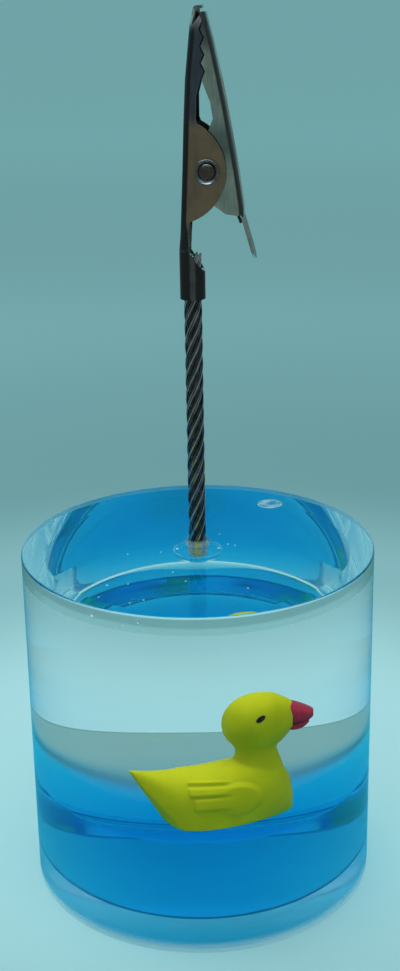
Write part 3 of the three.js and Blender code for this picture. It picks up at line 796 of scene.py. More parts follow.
def makeLid(s):
    e, wide = s["edgeRound"], s["holeRadius"]
    socketFoot = bossFoot + s["socketFloor"]
    profile = [(0, bossFoot), (s["bossRadius"] * s["bossNose"], bossFoot), (s["bossRadius"], socketFoot),
               (s["bossRadius"], tubeTop), (s["bore"], tubeTop), (tankRadius, tubeTop),
               *roundCorner((tankRadius - e, lidTop - e), e, 0, 90), (s["socketRadius"], lidTop),
               (s["socketRadius"], socketFoot), (0, socketFoot)]
    lid = spinProfile("tankLid", profile, s["steps"])
    rim = lidTop - s["plugChamfer"]
    foot, top = tubeTop - s["holeReach"], lidTop + s["holeReach"]
    hole = spinProfile("fillHole", [(0, foot), (wide, foot), (wide, rim), (wide, top), (0, top)],
                       s["plugSteps"])
    hole.data.transform(Matrix.Translation((plugAt.x, plugAt.y, 0)))
    cutAway(lid, hole)

    def choose(at, normal):
        out = hypot(at.x, at.y)
        fromHole = hypot(at.x - plugAt.x / mm, at.y - plugAt.y / mm)
        if fromHole < wide + faceSlack and abs(normal.z) < uprightTo:
            return "acrylic" if at.z > rim else "bond"
        if out < s["socketRadius"] + faceSlack and at.z > socketFoot - faceSlack:
            return "bond"
        if out > tankRadius - faceSlack and abs(normal.z) < uprightTo:
            return "edge"
        if at.z > tubeTop + faceSlack:
            return "acrylic"
        return "bond" if normal.z < -flatFrom and out > s["bore"] else "acrylicOil"

    return dress(lid, ["acrylic", "bond", "acrylicOil", "edge"], choose)


def makeWater(s):
    gap = s["liquidGap"]
    out = s["bore"] - gap
    profile = [(0, baseTop + gap), (out, baseTop + gap), *reversed(liquidSurface(s, out, gap))]
    return dress(spinProfile("blueWater", profile, s["steps"]), ["water"])


def makeOil(s):
    gap = s["liquidGap"]
    out = s["bore"] - gap
    boss = s["bossRadius"] + gap
    foot = bossFoot - gap
    profile = [*liquidSurface(s, out), (out, tubeTop - gap), (boss, tubeTop - gap),
               (boss, bossFoot + s["socketFloor"]), (boss * s["bossNose"], foot), (0, foot)]

    def choose(at, normal):
        return "oilWater" if normal.z < -uprightTo and at.z < waterTop + faceSlack else "oil"

    return dress(spinProfile("clearOil", profile, s["steps"]), ["oil", "oilWater"], choose)


def makePlug(s):
    r, c = s["plugRadius"], s["plugChamfer"]
    shoulder = lidTop - c
    profile = [(0, tubeTop), (r, tubeTop), (r, shoulder), *roundCorner((r - c, shoulder), c, 0, 90, 4, 0.02),
               (0, lidTop)]
    plug = spinProfile("fillPlug", profile, s["plugSteps"])
    plug.data.transform(Matrix.Translation((plugAt.x, plugAt.y, 0)))

    def choose(at, normal):
        if normal.z < -flatFrom:
            return "acrylicOil"
        if at.z > shoulder:
            return "plugTop" if normal.z > flatFrom else "plug"
        return "bond"

    return dress(plug, ["plugTop", "bond", "acrylicOil", "plug"], choose)


bushSet = {
    "inner": 1.56,
    "outer": 1.76,
    "collar": 2.08,
    "collarFoot": 0.1,
    "taper": 0.04,
    "foot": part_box("stem_bush")[0].z / mm,
    "top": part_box("stem_bush")[1].z / mm - 0.25,
    "rimRound": 0.24,
    "mouth": [(0.06, 0.12), (0, 0.3)],  # out from the bore, down from the top
    "slack": 0.02,
    "steps": 64,
    "glueFoot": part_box("stem_glue")[0].z / mm,
    "glueTop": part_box("stem_glue")[1].z / mm,
    "dropFoot": [(0.5, 0), (0.2, 0.1), (0, 0.45)],  # in from the side, up from the foot
    "dropTop": [(0, 0.1), (0.12, 0)],  # in from the side, down from the top
    "dropDip": 0.05,
}


# the sleeve round the stem, with a collar that lies on the lid
def makeBush(s):
    e, top, step = s["rimRound"], s["top"], s["collarFoot"]
    foot, seat = s["foot"] + s["slack"], lidTop + s["slack"]
    shoulder = s["collar"] - s["taper"]
    profile = [(s["inner"], foot), (s["outer"], foot), (s["outer"], seat), (s["collar"] - step, seat),
               (s["collar"], seat + step), (shoulder, top - e),
               *roundCorner((shoulder - e, top - e), e, 0, 90, 4),
               *((s["inner"] + out, top - down) for out, down in s["mouth"]), (s["inner"], foot)]
    return dress(spinProfile("stemBush", profile, s["steps"]), ["bush"])


def makeGlue(s):
    wide = s["outer"]
    foot, top = s["glueFoot"] + s["slack"], s["glueTop"] - s["slack"]
    profile = [(0, foot), *((wide - inward, foot + up) for inward, up in s["dropFoot"]),
               *((wide - inward, top - down) for inward, down in s["dropTop"]), (0, top - s["dropDip"])]
    return dress(spinProfile("stemGlue", profile, s["steps"]), ["glue"])


# small bubbles caught in the bond under the lid and in the seam round it, painted pale as painted highlights;
# the two beside the boss, at (-3.5, 0.3) and (3.6, 0.2), stand in for glints there
bubbleSet = {
    "under": [  # x, y, radius in mm
        (-14.8, -14.6, 0.2), (-11.4, -14.3, 0.16), (-4.2, -9.8, 0.15), (-2.1, -13.6, 0.14),
        (7.9, -16.8, 0.17), (5.2, 1.9, 0.17), (6.4, 1.3, 0.15), (3.9, 6.6, 0.12), (-11.9, -1.7, 0.13),
        (-6.3, -1.1, 0.13), (-3.5, 0.3, 0.26), (3.6, 0.2, 0.26), (-15.9, -19.2, 0.14), (-10.9, -21.7, 0.15),
        (-8.7, -20.7, 0.14),
    ],
    "lift": 0.12,
    "seam": [  # bearing in degrees, height, radius
        (-123.8, 59.3, 0.26), (-113.1, 58.8, 0.16), (-108.3, 59.6, 0.15), (-115.4, 58.4, 0.14),
    ],
    "seamDepth": 0.04,
    "flat": 0.55,
    "bossRing": (4.05, 0.16),
    "ringSlack": 0.01,
}


def makeBubbles(s):
    height = tubeTop + s["lift"]
    places = [(Vector((x, y, height)), r, s["flat"]) for x, y, r in s["under"]]
    out = tankRadius - s["seamDepth"]
    for bearing, z, r in s["seam"]:
        turn = radians(bearing)
        places.append((Vector((out * cos(turn), out * sin(turn), z)), r, 1))
    bubbles = []
    for at, r, flat in places:
        clearSelection()
        bpy.ops.mesh.primitive_ico_sphere_add(subdivisions=3, radius=r * mm)
        bubble = bpy.context.object
        bubble.data.transform(Matrix.Translation(at * mm) @ Matrix.Diagonal((1, 1, flat, 1)))
        bubbles.append(bubble)
    ringOut, ringRound = s["bossRing"]
    clearSelection()
    bpy.ops.mesh.primitive_torus_add(
        major_radius=ringOut * mm, minor_radius=ringRound * mm, major_segments=96, minor_segments=10)
    ring = bpy.context.object
    ring.data.transform(Matrix.Translation((0, 0, height * mm)))
    joined = joinPieces(bubbles[0], *bubbles[1:], ring)
    joined.name = "bondBubbles"

    def choose(at, normal):
        return "halo" if abs(hypot(at.x, at.y) - ringOut) < ringRound + s["ringSlack"] else "bubble"

    return dress(joined, ["bubble", "halo"], choose)


for maker, settings, slotName, *nodes in (
    (makeBase, tankSet, "clear_acrylic", "tank_base"),
    (makeWall, tankSet, "clear_acrylic", "tank_wall"),
    (makeLid, tankSet, "clear_acrylic", "tank_lid"),
    (makeWater, tankSet, "blue_water", "blue_water"),
    (makeOil, tankSet, "clear_oil", "clear_oil"),
    (makePlug, tankSet, "clear_plug", "fill_plug"),
    (makeBush, bushSet, "clear_plug", "stem_bush"),
    (makeGlue, bushSet, "glue", "stem_glue"),
    (makeBubbles, bubbleSet, "clear_acrylic"),
):
    made = maker(settings)
    smooth(made)
    place(made, "holder", slotName, *nodes)
print("tank and liquids made")

# stem: six strands of six wires, each strand laid right-handed, its wires the other way
ropeSet = {
    "foot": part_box("wire_stem")[0].z / mm,
    "top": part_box("wire_stem")[1].z / mm,
    "strands": 6,
    "strandOffset": 1.02,
    "lay": 17.4,
    "wires": 6,
    "wireOffset": 0.32,
    "wireRadius": 0.162,
    "wireLay": 80,
    "step": 0.45,
    "fray": 0.55,  # how far the cut ends stand apart
    "frayLength": 2,
    "frayTo": (0.5, -0.3, 0),
    "frayDrop": 0.5,
    "frayOdds": (3.1, 2.3),  # spreads the fraying unevenly over strands and wires
}


def makeRope(s):
    paths = []
    long = s["top"] - s["foot"]
    steps = round(long / s["step"])
    for strand in range(s["strands"] + 1):
        offset = s["strandOffset"] if strand < s["strands"] else 0
        climb = offset * 2 * pi / s["lay"]
        for wire in range(s["wires"]):
            path = []
            loose = 0.5 + 0.5 * sin(s["frayOdds"][0] * strand + s["frayOdds"][1] * wire)
            for i in range(steps + 1):
                z = s["foot"] + long * i / steps
                turn = 2 * pi * (z / s["lay"] + strand / s["strands"])
                outward = Vector((cos(turn), sin(turn), 0))
                ahead = Vector((-sin(turn) * climb, cos(turn) * climb, 1)).normalized()
                sideways = ahead.cross(outward)
                spin = -2 * pi * z / s["wireLay"] + 2 * pi * wire / s["wires"]
                at = (outward * (offset + s["wireOffset"] * cos(spin))
                      + sideways * s["wireOffset"] * sin(spin))
                free = max(0, z - s["top"] + s["frayLength"]) / s["frayLength"]
                at += Vector(s["frayTo"]) * s["fray"] * loose * free ** 2
                path.append((at.x, at.y, z + at.z - s["frayDrop"] * (1 - loose) * free))
            paths.append(path)
    rope = bendWires("wireStem", paths, s["wireRadius"], 1)
    smooth(rope, 60)
    return dress(rope, ["rope"])


# clip: heights z up from the foot of the barrel, x across the jaws
clipSet = {
    "turn": -6,  # degrees about the stem
    "sheet": 0.45,
    "bend": 1,
    "barrelInner": 1.6,
    "barrelFront": 4.4,
    "barrelBack": 7.65,
    "barrelTurns": ((1.0, 0.72), (0.42, 0.3)),  # where wall and bend end: at most, share of the reach
    "slit": 0.25,
    "mouthFrom": 0.999,  # share of the barrel's radius
    "mouthSteps": 14,
    "tailEdge": -0.35,
    "tailNeck": [12.29, -0.1],
    "earCentre": -2.3,
    "earRadius": 8.1,
    "earSpan": (12.69, 27.63),
    "pivot": (2.84, 20.48),
    "pivotHole": (1.06, 20),  # radius, length of the cutter
    "cheek": 2.9,
    "cheekShare": 0.92,
    "toothFoot": 34.1,
    "toothPitch": 2.45,
    "toothCount": 4,
    "toothDepth": 0.6,
    "biteGap": 0.24,
    "bite": [[34.1, 2.35], [43.9, 2.1]],
    "noseTop": 44.4,
    "noseReach": 1.3,
    "noseCut": {"foot": 2.5, "lip": 0.1, "corners": [(2.5, -0.3), (4, -0.3), (4, 1)],
                "width": 12, "shift": -6.4},
    "noseCurl": {"lean": 0.25, "foot": 1, "arc": 80, "steps": 6, "out": 0.55, "up": 0.45, "end": 0.46,
                 "half": 1.45, "columns": 8},
    "fixedSpine": [[4.1, -2.03], [7.65, -2.03], [10.15, -1.7], [12.69, -1.45], [20.48, -1.06], [34.1, -0.47],
                   [41.9, 0.32], [44.4, 0.95]],
    "fixedHalf": [[7.65, 2.03], [12.69, 3.2], [27.63, 3.2], [34.1, 2.45], [44.4, 1.9]],
    "fixedBend": [[7.65, 1.9], [12.69, 1]],
    "fixedWaist": [[28.3, 1.25], [31.9, 1.3]],
    "movingSpine": [[13, 8.45], [15.18, 8.3], [20.48, 7.55], [29.9, 5.93], [34.1, 5.11], [39.7, 3.88],
                    [43.9, 2.8]],
    "movingHalf": [[34.1, 2.45], [44.4, 1.9]],
    "movingTail": [[13.6, 7.2], [13.85, 5.6], [15.1, 3.9]],
    "movingWaist": [[28.4, 3.82], [30.9, 3.4]],
    "leverRoot": 13.6,
    "leverLength": 7,
    "leverFlare": 16,
    "leverBend": 0.3,  # below the root, where the flare begins
    "leverWidth": 3.9,
    "leverNeck": (0.2, 1.42),  # down to here it is no wider than this on each side
    "leverLap": 1.2,
    "leverInset": 0.02,
    "leverThin": 0.04,
    "leverGrid": (12, 40),
    "leverLeast": 0.01,
    "rimRound": 0.07,
    "rimFrom": 55,  # degrees between faces
    "smoothTo": 32,
    "rowStep": 0.3,
    "leastStep": 0.004,
    "leastDepth": 0.06,
    "pieceColumns": (9, 6, 5, 6, 9),  # wall, bend, web, bend, wall
}


def toothEdge(s, side):
    rows = []
    for i in range(2 * s["toothCount"] + 1):
        z = s["toothFoot"] + i * s["toothPitch"] / 2
        tooth = (0.5 if i % 2 else -0.5) * s["toothDepth"]
        rows.append([z, between(s["bite"], z) + tooth + side * s["biteGap"] / 2])
    return rows


def circleEdge(centre, radius, height, low, high, side, steps=36):
    rows = []
    for i in range(steps + 1):
        z = low + (high - low) * (1 - cos(pi * i / steps)) / 2
        rows.append([z, centre + side * sqrt(max(radius ** 2 - (z - height) ** 2, 0))])
    return rows


# heights of a jaw's rows: every turn of its edge, and no step longer than rowStep
def rowHeights(s, low, high, *tables):
    marks = sorted({low, high, *(row[0] for table in tables for row in table if low < row[0] < high)})
    heights = [low]
    for mark in marks[1:]:
        start = heights[-1]
        if mark - start >= s["leastStep"]:
            parts = max(1, ceil((mark - start) / s["rowStep"]))
            heights += [start + (mark - start) * (k + 1) / parts for k in range(parts)]
    return heights


# one row of a jaw: five stretches of the sheet's outer face, wall, bend, web, bend, wall
def sheetRow(s, spine, edge, half, bend, toward):
    depth = max(abs(edge - spine), s["leastDepth"])
    bend = min(bend, depth)
    walls, bends, web = s["pieceColumns"][:3]
    first = [(depth + (bend - depth) * k / walls, half) for k in range(walls)]
    for k in range(bends):
        a = pi / 2 * k / bends
        first.append((bend - bend * sin(a), half - bend + bend * cos(a)))
    middle = [(0, (half - bend) * (1 - 2 * k / web)) for k in range(web + 1)]
    line = first + middle + [(x, -y) for x, y in reversed(first)]
    return [(spine + toward * x, y) for x, y in line]


# one row of the barrel: an arc about the rope, open to the front
def barrelRow(s, reach):
    radius = s["barrelInner"] + s["sheet"]
    bendAt, webAt = (min(most, reach * share) for most, share in s["barrelTurns"])
    walls, bends, web = s["pieceColumns"][:3]
    angles = [reach + (bendAt - reach) * k / walls for k in range(walls)]
    angles += [bendAt + (webAt - bendAt) * k / bends for k in range(bends)]
    angles += [webAt * (1 - 2 * k / web) for k in range(web + 1)]
    angles += [-a for a in reversed(angles[:walls + bends])]
    return [(-radius * cos(a), radius * sin(a)) for a in angles]


def thicken(s, sheet, thinner=0):
    modify(sheet, "SOLIDIFY", thickness=(s["sheet"] - thinner) * mm, offset=-1, use_even_offset=True)
    tidyMesh(sheet)


def rivetHole(s):
    radius, length = s["pivotHole"]
    clearSelection()
    bpy.ops.mesh.primitive_cylinder_add(
        vertices=48, radius=radius * mm, depth=length * mm, rotation=(pi / 2, 0, 0),
        location=(s["pivot"][0] * mm, 0, s["pivot"][1] * mm))
    return toOrigin(bpy.context.object)


def toClip(piece, s):
    turn = Matrix.Rotation(radians(s["turn"]), 4, "Z")
    piece.data.transform(Matrix.Translation((0, 0, clipFoot * mm)) @ turn)


def finishJaw(s, jaw, finish):
    cutAway(jaw, rivetHole(s))
    modify(jaw, "BEVEL", width=s["rimRound"] * mm, segments=2, limit_method="ANGLE",
           angle_limit=radians(s["rimFrom"]), use_clamp_overlap=True)
    tidyMesh(jaw)
    smooth(jaw, s["smoothTo"])
    toClip(jaw, s)
    return dress(jaw, [finish])


def makeFixedJaw(s):
    edge = [[s["barrelBack"], s["tailEdge"]], s["tailNeck"],
            *circleEdge(s["earCentre"], s["earRadius"], s["pivot"][1], *s["earSpan"], 1),
            *s["fixedWaist"], *toothEdge(s, -1)]
    radius = s["barrelInner"] + s["sheet"]
    slitReach = pi - s["slit"] / 2 / radius
    mouth = radius * s["mouthFrom"]
    lowRows = [[0, slitReach]]
    for k in range(s["mouthSteps"] + 1):
        x = mouth + (s["tailEdge"] - mouth) * k / s["mouthSteps"]
        z = s["barrelFront"] + (s["barrelBack"] - s["barrelFront"]) * k / s["mouthSteps"]
        lowRows.append([z, min(slitReach, acos(-x / radius))])
    heights = [*rowHeights(s, 0, s["barrelBack"], lowRows),
               *rowHeights(s, s["barrelBack"], s["noseTop"], s["fixedSpine"], s["fixedHalf"], edge)[1:]]

    def shape(column, row):
        z = heights[row]
        if z <= s["barrelBack"]:
            x, y = barrelRow(s, between(lowRows, z))[column]
        else:
            x, y = sheetRow(s, between(s["fixedSpine"], z), between(edge, z), between(s["fixedHalf"], z),
                            between(s["fixedBend"], z), 1)[column]
        return x, y, z

    jaw = bentGrid("fixedJaw", sum(s["pieceColumns"]), len(heights) - 1, shape)
    thicken(s, jaw)
    top, cut, curl = s["noseTop"], s["noseCut"], s["noseCurl"]
    spineTop = between(s["fixedSpine"], top)
    foot = top - cut["foot"]
    slant = prism("noseCut", [
        (between(s["fixedSpine"], foot) + s["sheet"], foot + cut["lip"]),
        *((x, top + up) for x, up in cut["corners"]),
        (spineTop + s["sheet"], top + cut["corners"][-1][1])], cut["width"])
    slant.data.transform(Matrix.Translation((0, cut["shift"] * mm, 0)))
    cutAway(jaw, slant)

    line = [(spineTop - curl["lean"], top - curl["foot"]), (spineTop, top)]
    for k in range(1, curl["steps"] + 1):
        a = radians(curl["arc"]) * k / curl["steps"]
        line.append((spineTop + curl["out"] * (1 - cos(a)), top + curl["up"] * sin(a)))
    line.append((spineTop + s["noseReach"], top + curl["end"]))

    def curled(column, row):
        x, z = line[row]
        return x, curl["half"] * (1 - 2 * column / curl["columns"]), z

    nose = bentGrid("noseCurl", curl["columns"], len(line) - 1, curled)
    thicken(s, nose)
    joinPieces(jaw, nose)
    return finishJaw(s, jaw, "fixedJaw")


def makeMovingJaw(s):
    root = s["leverRoot"]
    pivotX, pivotZ = s["pivot"]
    span = s["cheekShare"] * s["cheek"]
    edge = [*s["movingTail"], *circleEdge(pivotX, s["cheek"], pivotZ, pivotZ - span, pivotZ + span, -1),
            *s["movingWaist"], *toothEdge(s, 1)]
    toothTop = s["toothFoot"] + s["toothCount"] * s["toothPitch"]
    heights = rowHeights(s, root, toothTop, s["movingSpine"], edge)

    def shape(column, row):
        z = heights[row]
        x, y = sheetRow(s, between(s["movingSpine"], z), between(edge, z), between(s["movingHalf"], z),
                        s["bend"], -1)[column]
        return x, y, z

    jaw = bentGrid("movingJaw", sum(s["pieceColumns"]), len(heights) - 1, shape)
    thicken(s, jaw)
    rootX = between(s["movingSpine"], root) - s["leverInset"]
    flare = tan(radians(s["leverFlare"]))
    columns, rows = s["leverGrid"]
    neckEnd, neckHalf = s["leverNeck"]

    def lever(column, row):
        down = s["leverLap"] - (s["leverLength"] + s["leverLap"]) * row / rows
        half = s["leverWidth"] / 2
        if down > -neckEnd:
            half = min(half, neckHalf)
        # the end is round
        end = s["leverLength"] + down
        half = min(half, sqrt(max(half ** 2 - max(0, half - end) ** 2, s["leverLeast"] ** 2)))
        return rootX + max(0, -down - s["leverBend"]) * flare, half * (1 - 2 * column / columns), root + down

    plate = bentGrid("lever", columns, rows, lever)
    thicken(s, plate, s["leverThin"])
    cutAway(jaw, plate, "UNION")
    return finishJaw(s, jaw, "movingJaw")


rivetSet = {
    "shank": 1.0, "head": 1.98, "inside": 3.24, "outside": 4.1, "dome": 1.34, "valley": 3.6,
    "footRound": 0.08, "rimRound": 0.12, "rimTurn": 120, "hold": 0.02, "dish": (0.2, 0.06),
    "domeFoot": (0.06, 0.02), "domeSteps": 8, "steps": 64,
}


# a domed head in a dished rim, on both ears
def makeRivet(s):
    head, inside, out, dome, valley = s["head"], s["inside"], s["outside"], s["dome"], s["valley"]
    foot, r, hold = s["footRound"], s["rimRound"], s["hold"]
    rim = out - r
    half = [(s["shank"], inside), (head - foot, inside), (head, inside + foot), (head, rim - r - hold),
            *roundCorner((head - r, rim - r), r, 0, s["rimTurn"], 6, hold),
            (head - s["dish"][0], rim - s["dish"][1]),
            (dome + s["domeFoot"][0], valley + s["domeFoot"][1]), (dome, valley)]
    for k in range(1, s["domeSteps"] + 1):
        a = pi / 2 * k / s["domeSteps"]
        half.append((dome * cos(a), valley + (out - valley) * sin(a)))
    half[-1] = (0, out)
    rivet = spinProfile("pivotRivet", [*((r, -z) for r, z in reversed(half)), *half], s["steps"])
    smooth(rivet, 40)

    def choose(at, normal):
        return "rivetRim" if hypot(at.x, at.y) > dome and abs(at.z) > valley - faceSlack else "rivet"

    dress(rivet, ["rivet", "rivetRim"], choose)
    middle = Vector((clipSet["pivot"][0], 0, clipSet["pivot"][1]))
    rivet.data.transform(Matrix.Translation(middle * mm) @ Matrix.Rotation(pi / 2, 4, "X"))
    toClip(rivet, clipSet)
    return rivet


springSet = {
    "wire": 0.25, "coil": 1.6, "turns": 2, "pitch": 1, "tailLeg": 11.2, "leverLeg": 11.9, "seat": 0.9,
    "rootAbove": 0.6, "coilSteps": 120, "legSteps": 8,
    "still": 2.2,  # wire radii at each end
}


def makeSpring(s):
    c = clipSet
    pivotX, pivotZ = c["pivot"]
    tail = (between(c["fixedSpine"], s["tailLeg"]) + s["seat"], s["tailLeg"])
    flare = tan(radians(c["leverFlare"]))
    root, above = c["leverRoot"], s["rootAbove"]
    leverX = between(c["movingSpine"], root + above) + (root - above - s["leverLeg"]) * flare
    lever = (leverX - s["seat"], s["leverLeg"])

    def touch(x, z, side):
        reach = hypot(x - pivotX, z - pivotZ)
        return atan2(z - pivotZ, x - pivotX) + side * acos(s["coil"] / reach)

    start = touch(*tail, -1) + 2 * pi
    end = touch(*lever, 1) - 2 * pi * s["turns"]
    width = s["pitch"] * (start - end) / (2 * pi)

    def onCoil(a):
        return pivotX + s["coil"] * cos(a), pivotZ + s["coil"] * sin(a)

    def leg(first, last, y):
        shares = [k / s["legSteps"] for k in range(s["legSteps"] + 1)]
        return [(first[0] + (last[0] - first[0]) * t, y, first[1] + (last[1] - first[1]) * t) for t in shares]

    coil = []
    for k in range(s["coilSteps"] + 1):
        x, z = onCoil(start + (end - start) * k / s["coilSteps"])
        coil.append((x, width * (k / s["coilSteps"] - 0.5), z))
    path = [*leg(tail, onCoil(start), -width / 2)[:-1], *coil, *leg(onCoil(end), lever, width / 2)[1:]]
    spring = bendWires("torsionSpring", [path], s["wire"], 4)
    smooth(spring, 50)
    toClip(spring, c)
    return dress(spring, ["spring"])


# the spring's place is baked into its mesh
def windUp(spring):
    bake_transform(spring)


for maker, settings, body, slotName, node in (
    (makeRope, ropeSet, "holder", "steel_wire", "wire_stem"),
    (makeFixedJaw, clipSet, "holder", "plated_steel", "fixed_jaw"),
    (makeMovingJaw, clipSet, "jaw", "plated_steel", "moving_jaw"),
    (makeRivet, rivetSet, "holder", "plated_steel", "pivot_rivet"),
):
    place(maker(settings), body, slotName, node)
spring = makeSpring(springSet)
windUp(spring)
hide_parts("torsion_spring")
print("stem and clip made")

# duck: u from tail to bill, v across, heights up from the water
duckSet = {
    "place": (18.78 * cos(radians(-82)), 18.78 * sin(radians(-82)), waterTop - 2),
    "turn": 12,
    "bottom": -0.7,
    "hull": [  # u, top, half width at its widest, half width at the bottom
        [-15.5, 9.0, 0.5, 0.5], [-13.9, 8.95, 1.0, 0.9], [-12.3, 8.8, 2.2, 2.0], [-10.6, 8.6, 3.4, 3.1],
        [-9.2, 8.5, 4.35, 4.05], [-7.3, 8.5, 5.25, 4.85], [-4, 8.75, 6.0, 5.95], [-0.5, 9.3, 6.1, 5.65],
        [3, 9.9, 5.85, 4.5], [6, 9.9, 5.0, 3.2], [8.0, 8.9, 3.9, 2.1], [9.4, 6.9, 2.5, 1.1],
        [10.3, 4.4, 1.2, 0.4], [10.6, 2.2, 0.3, 0.08],
    ],
    "hullGrid": (14, 60),  # columns in a quarter, rows
    "hullMiddle": 0.45,  # share of the height at which it is widest
    "hullRound": 0.92,
    "hullFlank": 0.75,  # share of the lower columns that go down the side
    "hullLeast": 0.05,
    "sternTop": (-14.1, 9.25),
    "sternFoot": (-8.3, -0.7),
    "sternRound": (30, 18.2),
    "sternLong": 80,
    "headAt": (5.35, 16.15),
    "headRadius": 5.12,
    "headNarrow": 0.95,
    "headBack": (4, 86, 12),  # degrees from, degrees on, steps
    "headGrid": (48, 48),
    "snout": [[5.35, 11.05, 21.28, 4.85], [7.3, 11.5, 21.05, 4.55], [8.5, 12.1, 20.45, 3.95],
              [9.65, 13.26, 19.65, 3.1], [10.5, 14.3, 18.95, 2.35]],
    "neck": [[6.0, 4.1], [8, 3.8], [9.8, 3.3], [11.2, 2.95], [12.8, 3.4], [14, 3.6]],
    "neckBack": 0.2,
    "neckOval": (1.02, 0.95),
    "neckGrid": (48, 24),
    "voxel": 0.2,
    "neckBlend": ((7.4, 8.8), (13.2, 14.6), (-1.5, 1)),  # from, to and forward of
    "neckRounds": 24,
    "skinFrom": (0.2, 0.8),
    "skinRounds": 2,
    "wing": [[-5.9, 7.95, 7.05], [-6.0, 7.05, 5.25], [-5.3, 5.25, 2.9]],  # feathers: rear end, top, foot
    "wingTip": 0.55,  # round of a feather's end
    "wingStep": 0.5,
    "wingSlope": 0.45,  # height left at a feather's upper edge
    "wingBelly": (1.5, 4.3, 4.4, 3.2),
    "bellyStep": 1.1,
    "wingShift": (-1.6, 1.4),  # from feathers to belly
    "wingWithin": (9, 1),  # below this height, and this far off the middle
    "wingFacing": (0.35, 0.6),
    "wingProud": 0.48,
}


# a closed tube through rows of [u, low, high, half width]: ovals, or squarer for a power under 1
def ovalTube(name, rows, grid, power=1, spread=lambda t: t):
    columns, steps = grid

    def shape(column, row):
        u = rows[0][0] + (rows[-1][0] - rows[0][0]) * spread(row / steps)
        low, high, half = flowing(rows, u)
        a = 2 * pi * column / columns
        across, up = (copysign(abs(v) ** power, v) for v in (cos(a), sin(a)))
        return u, half * across, (low + high) / 2 + (high - low) / 2 * up

    return bentGrid(name, columns, steps, shape, True)


def makeDuck(s):
    side, stations = s["hullGrid"]
    first, last = s["hull"][0][0], s["hull"][-1][0]
    low, power, flank = s["bottom"] - 1, s["hullRound"], s["hullFlank"]

    def hull(column, row):
        u = first + (last - first) * row / stations
        top, half, foot = flowing(s["hull"], u)
        half, foot = max(half, s["hullLeast"]), max(foot, s["hullLeast"])
        mid = low + (top - low) * s["hullMiddle"]
        turn = column % (4 * side)
        near = 1 if turn <= 2 * side else -1
        k = turn if turn <= 2 * side else 4 * side - turn
        if k <= side:
            a = pi / 2 * (k / side)
            return u, near * half * sin(a) ** power, mid + (top - mid) * cos(a) ** power
        t = (k - side) / side
        if t < flank:
            fall = t / flank
            return u, near * (half + (foot - half) * fall ** 2), mid + (low - mid) * fall
        return u, near * foot * (1 - (t - flank) / (1 - flank)), low

    body = bentGrid("duckBody", 4 * side, stations, hull, capped=True)
    # the stern: a shallow round cut from the tail's tip to the bottom
    topU, topZ = s["sternTop"]
    footU, footZ = s["sternFoot"]
    lean = atan2(footU - topU, topZ - footZ)
    deep, wide = (radius * mm for radius in s["sternRound"])
    clearSelection()
    bpy.ops.mesh.primitive_cylinder_add(vertices=360, radius=1, depth=s["sternLong"] * mm)
    stern = bpy.context.object
    stern.data.transform(Matrix.Translation((topU * mm, 0, topZ * mm)) @ Matrix.Rotation(-lean, 4, "Y")
                         @ Matrix.Translation((deep, 0, 0)) @ Matrix.Diagonal((deep, wide, 1, 1)))
    cutAway(body, stern, "INTERSECT")
    openMesh(body)
    bpy.ops.mesh.bisect(
        plane_co=(0, 0, s["bottom"] * mm), plane_no=(0, 0, 1), use_fill=True, clear_inner=True)
    bpy.ops.object.mode_set(mode="OBJECT")

    headU, headZ = s["headAt"]
    neckColumns, neckSteps = s["neckGrid"]
    start, onward, backSteps = s["headBack"]
    headRows = []
    for k in range(backSteps):
        a = radians(start + onward * k / backSteps)
        out = s["headRadius"] * sin(a)
        back = headU - s["headRadius"] * cos(a)
        headRows.append([back, headZ - out, headZ + out, out * s["headNarrow"]])
    headRows += s["snout"]

    def neck(column, row):
        z = s["neck"][0][0] + (s["neck"][-1][0] - s["neck"][0][0]) * row / neckSteps
        radius = flowing(s["neck"], z)[0]
        a = 2 * pi * column / neckColumns
        long, narrow = s["neckOval"]
        return headU - s["neckBack"] + radius * long * cos(a), radius * narrow * sin(a), z

    joinPieces(body, ovalTube("duckHead", headRows, s["headGrid"]),
               bentGrid("duckNeck", neckColumns, neckSteps, neck, True))
    modify(body, "REMESH", mode="VOXEL", voxel_size=s["voxel"] * mm, adaptivity=0)
    above, below, ahead = s["neckBlend"]
    soften(body, "neckBlend", s["neckRounds"],
           lambda at: rampUp(at.z, *above) * (1 - rampUp(at.z, *below)) * rampUp(at.x, *ahead))
    soften(body, "skin", s["skinRounds"], lambda at: rampUp(at.z, *s["skinFrom"]))
    lifts = [vertex.normal * wingRelief(s, vertex.co / mm) * rampUp(abs(vertex.normal.y), *s["wingFacing"])
             for vertex in body.data.vertices]
    for vertex, lift in zip(body.data.vertices, lifts):
        vertex.co += lift * mm
    smooth(body, 50)
    return body


def soften(piece, groupName, rounds, weight):
    group = piece.vertex_groups.new(name=groupName)
    for vertex in piece.data.vertices:
        share = weight(vertex.co / mm)
        if share > 0:
            group.add([vertex.index], share, "REPLACE")
    modify(piece, "SMOOTH", factor=0.5, iterations=rounds, vertex_group=groupName)
    piece.vertex_groups.clear()


